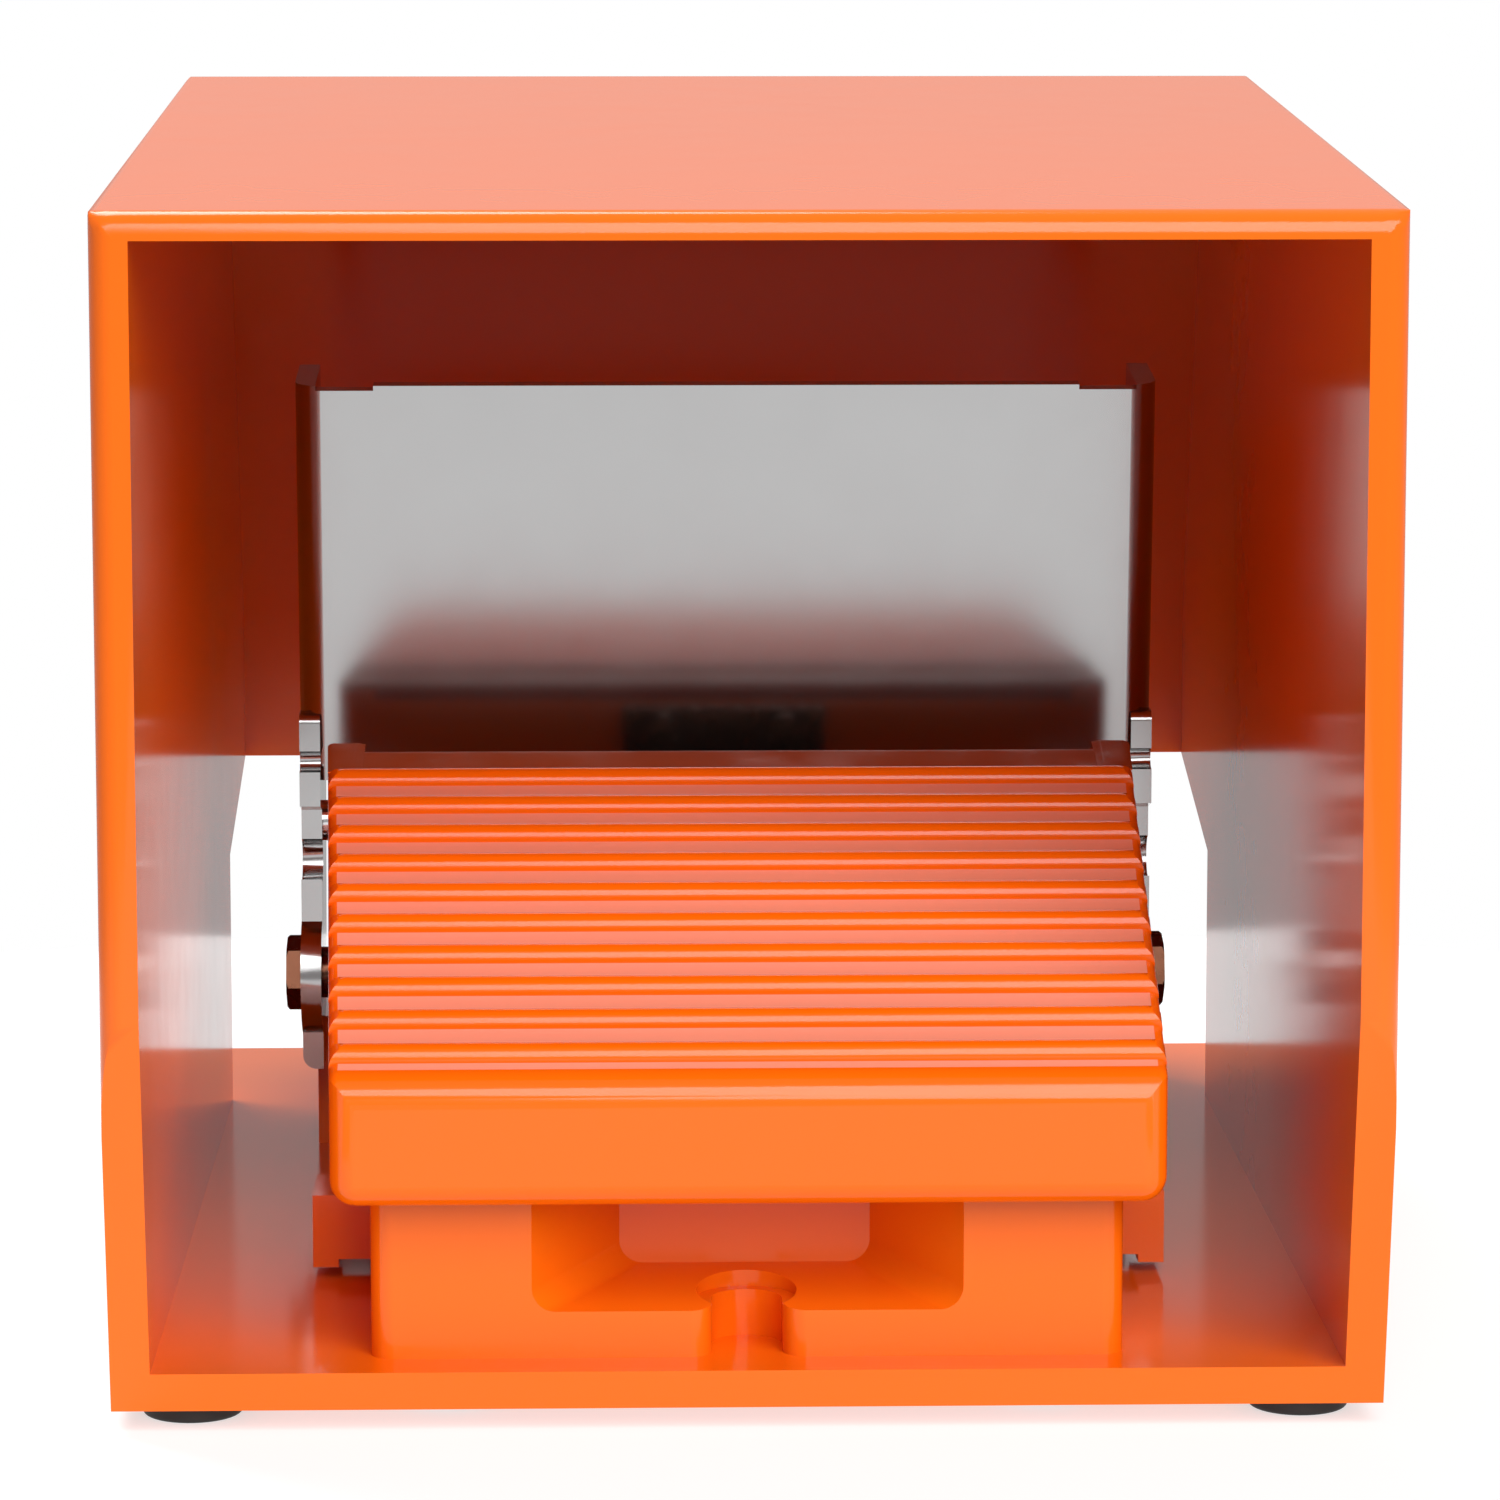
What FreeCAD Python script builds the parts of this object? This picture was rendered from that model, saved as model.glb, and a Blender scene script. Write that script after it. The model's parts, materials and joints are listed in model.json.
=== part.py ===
import FreeCAD, Part
import math
import os

# Industrial foot switch with a protective hood, in millimetres.
# Every piece is drawn in working coordinates: X from the plane of symmetry, Y backwards from the hood's
# front edge, Z up from the top face of the floor plate. export_node moves it to the part's frame, which
# has its origin under the middle of the hood, on the ground.

Vector = FreeCAD.Vector
X_AXIS = Vector(1, 0, 0)
Y_AXIS = Vector(0, 1, 0)
Z_AXIS = Vector(0, 0, 1)
SIDES = (-1, 1)

# Protective hood
HOOD_WIDTH = 160.0
HOOD_DEPTH = 222.0
HOOD_FRONT_HEIGHT = 145.5
HOOD_SIDE_WALL = 5.0
HOOD_ROOF = 3.4
HOOD_BACK_WALL = 3.5
HOOD_FLOOR = 5.0
ROOF_RISE_ANGLE = 3.66
ROOF_SIDE_RADIUS = 3.5
ROOF_FRONT_RADIUS = 3.0
ROOF_REAR_RADIUS = 24.0
FRONT_KINK_HEIGHT = 46.3
FRONT_SETBACK = 10.7
BACK_KNEE_HEIGHT = 71.8
BACK_SLANT_ANGLE = 17.5
BACK_OPENING_HEIGHT = 47.6
SIDE_REAR_DEPTH = 177.5
SIDE_REAR_HEIGHT = 38.3

# Rubber feet
FOOT_HEIGHT = 3.0
FOOT_RADIUS = 6.4
FOOT_INSET = 9.5
FRONT_FOOT_DEPTH = 22.0
REAR_FOOT_MARGIN = 14.0
FOOT_SCREW_RADIUS = 2.0
FOOT_SCREW_HEAD_RADIUS = 3.5
FOOT_SCREW_HEAD_HEIGHT = 1.4
FOOT_RECESS_CLEARANCE = 0.3
FOOT_RIM_RADIUS = 0.6
FOOT_SCREW_REACH = 3.5
FOOT_HOLE_END_GAP = 0.5

# Base housing
BASE_FRONT = 16.5
BASE_LENGTH = 172.0
BASE_FRONT_WIDTH = 95.4
BASE_REAR_WIDTH = 104.0
BASE_REAR_START = 124.0
BASE_HEIGHT = 35.0
BASE_EDGE_RADIUS = 3.0
BASE_TOP_RADIUS = 1.5
WING_REACH = 8.3
WING_FRONT = 146.0
WING_HEIGHT = 19.3
WING_RADIUS = 2.0
LUG_HALF_WIDTH = 57.0
LUG_FRONT = 60.0
LUG_LENGTH = 13.0
LUG_TOP = 11.4
LUG_BOTTOM = 1.6
LUG_INNER_BOTTOM = 2.7
LUG_STEP_WIDTH = 3.4

# Front pocket and fixing slot
POCKET_FRONT_WIDTH = 54.6
POCKET_BACK_WIDTH = 32.3
POCKET_DEPTH = 16.1
POCKET_LEDGE = 6.0
POCKET_LEDGE_RISE = 2.5
POCKET_TOP = 21.5
POCKET_CORNER_RADIUS = 3.0
SLOT_WIDTH = 9.0
SLOT_LENGTH = 11.5
SLOT_LIP_RADIUS = 3.0
SLOT_SEAT_RADIUS = 6.4

# Chamber for the contacts, and its cover plate
CHAMBER_WIDTH = 86.0
CHAMBER_START = 40.0
CHAMBER_END_WALL = 7.5
CHAMBER_ROOF = 4.0
COVER_MARGIN = 2.5
COVER_THICKNESS = 1.9
COVER_RECESS = 0.3
GASKET_THICKNESS = 1.0
COVER_BOSS_RADIUS = 4.5
COVER_BOSS_HEIGHT = 16.0
COVER_BOSS_INSET = 4.2
COVER_SCREW_RADIUS = 2.0
COVER_SCREW_LENGTH = 12.0
COVER_SCREW_HEAD_RADIUS = 3.7
COVER_SIDE_CLEARANCE = 0.2
SEAT_GAP = 0.05
HOLE_END_GAP = 1.0

# Screws that hold the housing to the floor plate
FIXING_SCREW_RADIUS = 3.0
FIXING_SCREW_HEAD_RADIUS = 5.8
FIXING_SCREW_REACH = 14.0
FRONT_FIXING_X = 38.0
FRONT_FIXING_Y = 26.0
REAR_FIXING_INSET = 7.3
REAR_FIXING_Y = 168.0

# Cable entries, blanking plug and earth terminal
ENTRY_RADIUS = 9.25
ENTRY_X = 25.0
ENTRY_Z = 18.5
PLUG_HEAD_RADIUS = 12.5
PLUG_HEAD_LENGTH = 4.5
PLUG_SEAL_THICKNESS = 1.6
PLUG_SLOT_WIDTH = 3.0
PLUG_SLOT_DEPTH = 2.0
PLUG_RIM_RADIUS = 1.0
PLUG_SEAL_INSET = 0.8
RING_CLEARANCE = 0.1
EARTH_BOSS_RADIUS = 5.0
EARTH_BOSS_LENGTH = 9.0
EARTH_Y = 163.0
EARTH_SCREW_RADIUS = 2.5
EARTH_SCREW_HEAD_RADIUS = 4.6
EARTH_SCREW_HEAD = 2.4
EARTH_SLOT_WIDTH = 1.2
EARTH_SLOT_DEPTH = 1.2
EARTH_WASHER_RADIUS = 5.2
EARTH_WASHER_THICKNESS = 1.0

# Pedal
PEDAL_FRONT = 8.0
PEDAL_REAR = 118.0
SKIRT_FRONT_CLEARANCE = 1.05
SKIRT_REAR_CLEARANCE = 1.6
PEDAL_WALL = 3.5
PEDAL_ROOF = 3.6
PEDAL_SLOPE_ANGLE = 13.8
PEDAL_FRONT_TOP = 37.4
PEDAL_FRONT_BOTTOM = 21.1
PEDAL_REAR_BOTTOM = 34.0
PEDAL_REAR_WALL_BOTTOM = 49.5
PEDAL_FRONT_RADIUS = 4.5
PEDAL_REAR_RADIUS = 4.0
PEDAL_SIDE_RADIUS = 1.2
PEDAL_TRAVEL_ANGLE = 7.0
RIB_COUNT = 10
RIB_FIRST = 15.0
RIB_PITCH = 9.8
RIB_RADIUS = 1.8
RIB_END_RADIUS = 2.4
EAR_WIDTH = 2.6
EAR_HEIGHT = 2.4
EAR_FLANK_RADIUS = 2.8
EAR_LENGTH = 12.0
STOP_TAB_CLEARANCE = 0.4
STOP_TAB_INSET = 1.0
STOP_TAB_STEP = 0.3
REAR_GATE_CLEARANCE = 1.0

# Pedal hinge
HINGE_Y = 26.0
HINGE_Z = 28.0
HINGE_PIN_RADIUS = 4.0
HINGE_RUNNING_CLEARANCE = 0.04
HINGE_BUSH_WALL = 1.0
HINGE_BUSH_LENGTH = 12.0
HINGE_FLANGE_RADIUS = 6.5
HINGE_FLANGE_THICKNESS = 1.2
HINGE_PIN_INSET = 0.3
HINGE_PIN_CHAMFER = 0.5
HINGE_BORE_CLEARANCE = 0.5

# Pedal return springs
SPRING_X = 31.0
SPRING_Y = 100.0
SPRING_RADIUS = 5.6
SPRING_WIRE_RADIUS = 0.8
SPRING_TURNS = 5
SPRING_SEAT_RADIUS = 7.5
SPRING_SEAT_Z = 54.0
SPRING_PEG_RADIUS = 4.2
SPRING_PEG_HEIGHT = 3.0
SPRING_END_GAP = 0.1

# Contact blocks, plungers and adjusting screws
BLOCK_X = 15.0
BLOCK_Y = 72.0
BLOCK_WIDTH = 24.0
BLOCK_LENGTH = 40.0
BLOCK_HEIGHT = 21.0
BLOCK_CAVITY_WIDTH = 14.0
BLOCK_CAVITY_LENGTH = 26.0
BLOCK_CAVITY_FLOOR = 2.6
BLOCK_CAVITY_HEIGHT = 13.0
BLOCK_SCREW_Y = 17.0
BLOCK_SCREW_RADIUS = 1.5
BLOCK_SCREW_HEAD_RADIUS = 2.8
BLOCK_SCREW_REACH = 5.0
BLOCK_EDGE_RADIUS = 1.0
BLOCK_BORE_CLEARANCE = 0.3
PLUNGER_RADIUS = 3.0
PLUNGER_TOP = 43.6
PLUNGER_BOTTOM = 14.6
PLUNGER_DOME_RADIUS = 6.0
PLUNGER_CLEARANCE = 0.08
GUIDE_RADIUS = 4.6
GUIDE_FLANGE_RADIUS = 7.0
GUIDE_FLANGE_THICKNESS = 1.2
SEAL_RADIUS = 6.2
SEAL_HEIGHT = 1.1
ADJUSTER_GAP = 0.5
ADJUSTER_BOSS_RADIUS = 6.0
ADJUSTER_BOSS_Z = 47.8
ADJUSTER_THREAD_DEPTH = 3.6
LOCK_NUT_FLATS = 10.0
LOCK_NUT_HEIGHT = 3.0
ADJUSTER_END_GAP = 0.4
BRIDGE_LENGTH = 20.0
BRIDGE_WIDTH = 2.5
BRIDGE_THICKNESS = 0.8
BRIDGE_Z = 16.0
BRIDGE_PAD_RADIUS = 2.0
BRIDGE_PAD_HEIGHT = 0.6
CONTACT_WIDTH = 5.0
CONTACT_THICKNESS = 0.8
CONTACT_Z = 6.0
CONTACT_REACH = 26.0
CONTACT_INNER = 6.0
TERMINAL_Y = 23.2
TERMINAL_SCREW_RADIUS = 1.5
TERMINAL_HEAD_RADIUS = 2.6
TERMINAL_HEAD_HEIGHT = 2.0
TERMINAL_SCREW_REACH = 3.0
CONTACT_SPRING_RADIUS = 2.3
CONTACT_SPRING_WIRE = 0.4
CONTACT_SPRING_TURNS = 3

# Trigger flap
FLAP_SIDE_ROOM = 7.0
FLAP_THICKNESS = 3.0
FLAP_BEND_RADIUS = 3.8
FLAP_FACE_Y = 135.7
FLAP_FACE_Z = 60.0
FLAP_LEAN_ANGLE = 6.0
FLAP_TOP = 114.0
FLAP_FACE_BOTTOM = 56.0
FLAP_FLANGE_DEPTH = 17.0
FLAP_CORNER_NOTCH = 0.7
FLAP_CORNER_WIDTH = 11.3
FLAP_TRAVEL_ANGLE = 12.0
FLAP_PIVOT_Y = 139.5
FLAP_PIVOT_Z = 27.0
FLAP_LOBE_RADIUS = 9.0
ARM_SHOULDER_Y = 134.3
ARM_SHOULDER_TOP = 66.0
ARM_SHOULDER_RADIUS = 1.5
ARM_NICK_Z = 59.0
ARM_NICK_RADIUS = 1.5
ARM_NOSE_Y = 133.7
ARM_NOSE_BOTTOM = 52.5
ARM_THROAT_Y = 138.3
ARM_THROAT_TOP = 51.3
ARM_THROAT_BOTTOM = 47.0
ARM_HOOK_Y = 140.6
ARM_HOOK_Z = 44.3
ARM_HEEL_Y = 135.8
ARM_HEEL_Z = 41.4
ARM_TAIL_FRONT = 136.2
ARM_TAIL_REAR = 141.8
ARM_TAIL_BOTTOM = 13.2
ARM_TAIL_RADIUS = 2.0

# Flap pivots and return springs
PIVOT_BUSH_RADIUS = 3.75
PIVOT_BUSH_CLEARANCE = 0.05
PIVOT_SCREW_RADIUS = 3.0
PIVOT_SCREW_DEPTH = 7.0
PIVOT_HEAD_FLATS = 9.5
PIVOT_HEAD_THICKNESS = 2.2
PIVOT_HEAD_TURN = 15.0
PIVOT_HEAD_DRESSING = 0.4
PIVOT_BUSH_PROUD = 0.1
TORSION_WIRE_RADIUS = 0.6
TORSION_TURNS = 3
TORSION_SIDE_GAP = 0.6
TORSION_BUSH_GAP = 0.3
TORSION_LEG = 16.0

# Catch
CATCH_BAR_RADIUS = 3.0
CATCH_BAR_Y = 143.0
CATCH_BAR_Z = 49.0
CATCH_PLATE_WIDTH = 30.0
CATCH_PLATE_THICKNESS = 2.0
CATCH_PLATE_REACH = 19.0
CATCH_PLATE_TOP = 61.0
CATCH_PLATE_BOTTOM = 51.0
CATCH_PLATE_BEND_RADIUS = 1.8
CATCH_SCREW_X = 9.0
CATCH_SCREW_Z = 57.0
CATCH_SCREW_RADIUS = 2.0
CATCH_SCREW_HEAD_RADIUS = 3.5
CATCH_SCREW_HEAD = 2.2

# Sizes that follow from the ones above
FLOOR_TOP = FOOT_HEIGHT + HOOD_FLOOR
BASE_REAR = BASE_FRONT + BASE_LENGTH
CHAMBER_END = BASE_REAR - CHAMBER_END_WALL
CHAMBER_TOP = BASE_HEIGHT - CHAMBER_ROOF
COVER_TOP = COVER_RECESS + COVER_THICKNESS
COVER_REBATE = COVER_TOP + GASKET_THICKNESS
PLUNGER_LEVER = BLOCK_Y - HINGE_Y
PEDAL_FRONT_WIDTH = BASE_FRONT_WIDTH + 2 * (PEDAL_WALL + SKIRT_FRONT_CLEARANCE)
PEDAL_REAR_WIDTH = BASE_REAR_WIDTH + 2 * (PEDAL_WALL + SKIRT_REAR_CLEARANCE)
FLAP_HALF_WIDTH = BASE_REAR_WIDTH / 2 + FLAP_SIDE_ROOM + FLAP_THICKNESS
WING_HALF_WIDTH = BASE_REAR_WIDTH / 2 + WING_REACH
REAR_FIXING_X = WING_HALF_WIDTH - REAR_FIXING_INSET
OVERSHOOT = 10.0


def polygon_face(points):
    """Make a flat face from its corners.

    Args:
        points: the corners as vectors, in order round the outline.

    Returns:
        The face.
    """
    return Part.Face(Part.makePolygon(list(points) + [points[0]]))


def side_profile(corners, half_width):
    """Extrude an outline drawn in the side view evenly to both sides.

    Args:
        corners: (y, z) pairs in order round the outline.
        half_width: how far the solid reaches to each side of the plane of symmetry.

    Returns:
        The solid.
    """
    face = polygon_face([Vector(-half_width, y, z) for y, z in corners])
    return face.extrude(X_AXIS * (2 * half_width))


def box(x_range, y_range, z_range):
    """Make a box from its three ranges.

    Args:
        x_range, y_range, z_range: (low, high) pairs.

    Returns:
        The solid.
    """
    corner = Vector(x_range[0], y_range[0], z_range[0])
    lengths = [high - low for low, high in (x_range, y_range, z_range)]
    return Part.makeBox(*lengths, corner)


def cylinder(radius, start, end):
    """Make a cylinder between two points on its axis."""
    axis = end - start
    return Part.makeCylinder(radius, axis.Length, start, axis)


def cone(radius_start, radius_end, start, end):
    """Make a cone frustum between two points on its axis."""
    axis = end - start
    return Part.makeCone(radius_start, radius_end, axis.Length, start, axis)


def tube(outer, inner, start, end):
    """Make a plain tube between two points on its axis."""
    margin = (end - start).normalize() * OVERSHOOT
    return cylinder(outer, start, end).cut(cylinder(inner, start - margin, end + margin))


def hexagon(flats, start, end, turn=0.0):
    """Make a hexagonal prism.

    Args:
        flats: the distance across its flats.
        start, end: the two points on its axis, which runs along X or Z.
        turn: how far it is turned about its axis, in degrees.

    Returns:
        The solid.
    """
    axis = end - start
    across = Y_AXIS
    radius = flats / math.sqrt(3)
    corners = []
    for number in range(6):
        turned = FreeCAD.Rotation(axis, turn + 60 * number)
        corners.append(start + turned.multVec(across) * radius)
    return polygon_face(corners).extrude(axis)


def coil(radius, wire_radius, turns, length):
    """Make the coil of a spring along Z from the origin.

    Args:
        radius: the radius of the coil's centre line.
        wire_radius: the radius of the wire.
        turns: the number of turns.
        length: the length over the wire.

    Returns:
        The solid.
    """
    rise = length - 2 * wire_radius
    helix = Part.makeHelix(rise / turns, rise, radius)
    section = Part.Wire(Part.makeCircle(wire_radius, Vector(radius, 0, 0), Y_AXIS))
    spring = Part.Wire(helix.Edges).makePipeShell([section], True, True)
    spring.translate(Z_AXIS * wire_radius)
    return spring


def edges_where(shape, wanted):
    """List the edges of a shape whose ends and middle all pass a test."""
    found = []
    for edge in shape.Edges:
        middle = edge.valueAt((edge.FirstParameter + edge.LastParameter) / 2)
        points = [vertex.Point for vertex in edge.Vertexes] + [middle]
        if all(wanted(point) for point in points):
            found.append(edge)
    return found


def fused(first, *others):
    """Join solids into one and merge the faces that line up."""
    return first.fuse(list(others)).removeSplitter()


def mirrored_pair(shape):
    """Return a shape made of a solid and its mirror image on the other side."""
    return Part.makeCompound([shape, shape.mirror(Vector(0, 0, 0), X_AXIS)])


def roof_height(depth):
    """Height of the hood roof's outer face at a depth behind the front edge."""
    return HOOD_FRONT_HEIGHT + depth * math.tan(math.radians(ROOF_RISE_ANGLE))


def rear_corner(roof_offset, back_offset):
    """Point (y, z) where the roof and the slanted back wall would meet."""
    rise = math.tan(math.radians(ROOF_RISE_ANGLE))
    slant = math.tan(math.radians(BACK_SLANT_ANGLE))
    roof_start = HOOD_FRONT_HEIGHT - roof_offset
    back_start = HOOD_DEPTH - back_offset + BACK_KNEE_HEIGHT * slant
    depth = (back_start - roof_start * slant) / (1 + rise * slant)
    return depth, roof_start + depth * rise


def pedal_half_width(depth):
    """Half the pedal's width at a depth."""
    share = (depth - PEDAL_FRONT) / (PEDAL_REAR - PEDAL_FRONT)
    return (PEDAL_FRONT_WIDTH + share * (PEDAL_REAR_WIDTH - PEDAL_FRONT_WIDTH)) / 2


def pedal_top(depth):
    """Height of the pedal's face between the ribs at a depth."""
    return PEDAL_FRONT_TOP + (depth - PEDAL_FRONT) * math.tan(math.radians(PEDAL_SLOPE_ANGLE))


def make_hood():
    """Floor plate, side walls, rising roof and sloping back wall in one piece."""
    half = HOOD_WIDTH / 2
    knee_y = HOOD_DEPTH
    outer = side_profile(
        [
            (FRONT_SETBACK, -HOOD_FLOOR),
            (0, FRONT_KINK_HEIGHT),
            (0, HOOD_FRONT_HEIGHT),
            rear_corner(0, 0),
            (knee_y, BACK_KNEE_HEIGHT),
            (knee_y, -HOOD_FLOOR),
        ],
        half,
    )
    corner_y, corner_z = rear_corner(0, 0)
    rear_edges = edges_where(outer, lambda p: abs(p.y - corner_y) < 1 and abs(p.z - corner_z) < 1)
    outer = outer.makeFillet(ROOF_REAR_RADIUS, rear_edges)
    side_edges = edges_where(outer, lambda p: abs(p.x) > half - 1 and p.z > BACK_KNEE_HEIGHT - 1 and p.y > 1)
    side_edges += edges_where(
        outer, lambda p: abs(p.x) > half - 1 and abs(p.z - roof_height(p.y)) < 0.1 and p.y < corner_y
    )
    outer = outer.makeFillet(ROOF_SIDE_RADIUS, unique_edges(side_edges))
    front_edges = edges_where(outer, lambda p: p.y < 0.1 and p.z > HOOD_FRONT_HEIGHT - ROOF_SIDE_RADIUS - 0.1)
    outer = outer.makeFillet(ROOF_FRONT_RADIUS, front_edges)
    inner_roof = HOOD_ROOF / math.cos(math.radians(ROOF_RISE_ANGLE))
    rise = math.tan(math.radians(ROOF_RISE_ANGLE))
    inner_knee = HOOD_DEPTH - HOOD_BACK_WALL
    inside = side_profile(
        [
            (-OVERSHOOT, 0),
            (-OVERSHOOT, HOOD_FRONT_HEIGHT - inner_roof - OVERSHOOT * rise),
            rear_corner(inner_roof, HOOD_BACK_WALL),
            (inner_knee, BACK_KNEE_HEIGHT),
            (inner_knee, 0),
        ],
        half - HOOD_SIDE_WALL,
    )
    inner_y, inner_z = rear_corner(inner_roof, HOOD_BACK_WALL)
    inner_edges = edges_where(inside, lambda p: abs(p.y - inner_y) < 1 and abs(p.z - inner_z) < 1)
    inside = inside.makeFillet(ROOF_REAR_RADIUS - HOOD_ROOF, inner_edges)
    rear_opening = side_profile(
        [
            (SIDE_REAR_DEPTH, 0),
            (SIDE_REAR_DEPTH, SIDE_REAR_HEIGHT),
            (inner_knee, BACK_OPENING_HEIGHT),
            (knee_y + OVERSHOOT, BACK_OPENING_HEIGHT),
            (knee_y + OVERSHOOT, -HOOD_FLOOR - OVERSHOOT),
            (inner_knee, -HOOD_FLOOR - OVERSHOOT),
            (inner_knee, 0),
        ],
        half + OVERSHOOT,
    )
    hood = outer.cut([inside, rear_opening])
    holes = []
    for point in foot_places():
        end = point + Z_AXIS * (FOOT_SCREW_REACH + FOOT_HOLE_END_GAP)
        holes.append(cylinder(FOOT_SCREW_RADIUS + SEAT_GAP, point - Z_AXIS, end))
    for point in fixing_places():
        holes.append(cylinder(FIXING_SCREW_RADIUS + SEAT_GAP, point - Z_AXIS * OVERSHOOT, point + Z_AXIS))
        holes.append(countersink(point - Z_AXIS * HOOD_FLOOR, FIXING_SCREW_HEAD_RADIUS + SEAT_GAP))
    return hood.cut(holes)


def unique_edges(edges):
    """Drop the repeats from a list of edges."""
    kept = []
    for edge in edges:
        if not any(edge.isSame(other) for other in kept):
            kept.append(edge)
    return kept


def countersink(point, head_radius):
    """Make a 90 degree countersink that opens downwards at a point."""
    return cone(head_radius, 0, point, point + Z_AXIS * head_radius)


def foot_places():
    """Centres of the feet on the underside of the floor plate."""
    x = HOOD_WIDTH / 2 - FOOT_INSET
    depths = (FRONT_FOOT_DEPTH, HOOD_DEPTH - HOOD_BACK_WALL - REAR_FOOT_MARGIN)
    return [Vector(side * x, y, -HOOD_FLOOR) for side in SIDES for y in depths]


def fixing_places():
    """Points on the floor plate's top face where the housing's screws pass."""
    front = [Vector(side * FRONT_FIXING_X, FRONT_FIXING_Y, 0) for side in SIDES]
    rear = [Vector(side * REAR_FIXING_X, REAR_FIXING_Y, 0) for side in SIDES]
    return front + rear


def make_feet():
    """Rubber discs with a recess for the screw head."""
    feet = []
    for point in foot_places():
        foot = cylinder(FOOT_RADIUS, point - Z_AXIS * FOOT_HEIGHT, point)
        rim = edges_where(foot, lambda p: abs(p.z + HOOD_FLOOR + FOOT_HEIGHT) < 0.1)
        foot = foot.makeFillet(FOOT_RIM_RADIUS, rim)
        recess_depth = FOOT_SCREW_HEAD_HEIGHT + FOOT_RECESS_CLEARANCE
        bottom = point - Z_AXIS * FOOT_HEIGHT
        recess = cylinder(
            FOOT_SCREW_HEAD_RADIUS + FOOT_RECESS_CLEARANCE, bottom - Z_AXIS, bottom + Z_AXIS * recess_depth
        )
        hole = cylinder(FOOT_SCREW_RADIUS + SEAT_GAP, bottom - Z_AXIS, point + Z_AXIS)
        feet.append(foot.cut([recess, hole]))
    return Part.makeCompound(feet)


def make_feet_screws():
    """Pan-head screws that hold the feet."""
    screws = []
    for point in foot_places():
        seat = point - Z_AXIS * (FOOT_HEIGHT - FOOT_SCREW_HEAD_HEIGHT - FOOT_RECESS_CLEARANCE)
        head = cylinder(FOOT_SCREW_HEAD_RADIUS, seat - Z_AXIS * FOOT_SCREW_HEAD_HEIGHT, seat)
        shank = cylinder(FOOT_SCREW_RADIUS, seat, point + Z_AXIS * FOOT_SCREW_REACH)
        screws.append(fused(head, shank))
    return Part.makeCompound(screws)


def cover_places():
    """Centres of the six screw bosses inside the chamber."""
    x = CHAMBER_WIDTH / 2 - COVER_BOSS_INSET
    front = CHAMBER_START + COVER_BOSS_INSET
    rear = CHAMBER_END - COVER_BOSS_INSET
    return [Vector(side * x, y, 0) for side in SIDES for y in (front, (front + rear) / 2, rear)]


def pocket_outline(depth, width, floor):
    """Closed outline of the front pocket at one depth, with rounded lower corners."""
    half = width / 2
    radius = POCKET_CORNER_RADIUS
    diagonal = radius * (1 - math.sqrt(0.5))
    left_low = Vector(-half, depth, floor + radius)
    floor_left = Vector(-half + radius, depth, floor)
    floor_right = Vector(half - radius, depth, floor)
    right_low = Vector(half, depth, floor + radius)
    top_right = Vector(half, depth, POCKET_TOP)
    top_left = Vector(-half, depth, POCKET_TOP)
    edges = [
        Part.makeLine(top_left, left_low),
        Part.Arc(left_low, Vector(-half + diagonal, depth, floor + diagonal), floor_left).toShape(),
        Part.makeLine(floor_left, floor_right),
        Part.Arc(floor_right, Vector(half - diagonal, depth, floor + diagonal), right_low).toShape(),
        Part.makeLine(right_low, top_right),
        Part.makeLine(top_right, top_left),
    ]
    return Part.Wire(edges)


def pocket_and_slot():
    """Hollow in the front of the housing with the open-ended fixing slot through its ledge."""
    rise = POCKET_LEDGE_RISE / POCKET_DEPTH
    spread = (POCKET_FRONT_WIDTH - POCKET_BACK_WIDTH) / POCKET_DEPTH
    pocket = Part.makeLoft(
        [
            pocket_outline(BASE_FRONT - 1, POCKET_FRONT_WIDTH + spread, POCKET_LEDGE - rise),
            pocket_outline(BASE_FRONT + POCKET_DEPTH, POCKET_BACK_WIDTH, POCKET_LEDGE + POCKET_LEDGE_RISE),
        ],
        True,
        True,
    )
    half = SLOT_WIDTH / 2
    lip = SLOT_LIP_RADIUS
    diagonal = lip * (1 - math.sqrt(0.5))
    slot_end = BASE_FRONT + SLOT_LENGTH
    corners = {
        side: (
            Vector(side * (half + lip), BASE_FRONT, 0),
            Vector(side * (half + diagonal), BASE_FRONT + diagonal, 0),
            Vector(side * half, BASE_FRONT + lip, 0),
            Vector(side * half, slot_end - half, 0),
        )
        for side in SIDES
    }
    left = corners[-1]
    right = corners[1]
    front_left = Vector(-half - lip, BASE_FRONT - 1, 0)
    front_right = Vector(half + lip, BASE_FRONT - 1, 0)
    outline = Part.Wire(
        [
            Part.makeLine(front_left, left[0]),
            Part.Arc(left[0], left[1], left[2]).toShape(),
            Part.makeLine(left[2], left[3]),
            Part.Arc(left[3], Vector(0, slot_end, 0), right[3]).toShape(),
            Part.makeLine(right[3], right[2]),
            Part.Arc(right[2], right[1], right[0]).toShape(),
            Part.makeLine(right[0], front_right),
            Part.makeLine(front_right, front_left),
        ]
    )
    slot = Part.Face(outline).extrude(Z_AXIS * 2 * OVERSHOOT)
    slot.translate(Z_AXIS * (POCKET_LEDGE - OVERSHOOT))
    seat_centre = Vector(0, slot_end - half, POCKET_LEDGE)
    seat = cylinder(SLOT_SEAT_RADIUS, seat_centre, seat_centre + Z_AXIS * POCKET_CORNER_RADIUS)
    return fused(pocket, slot, seat)


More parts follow.
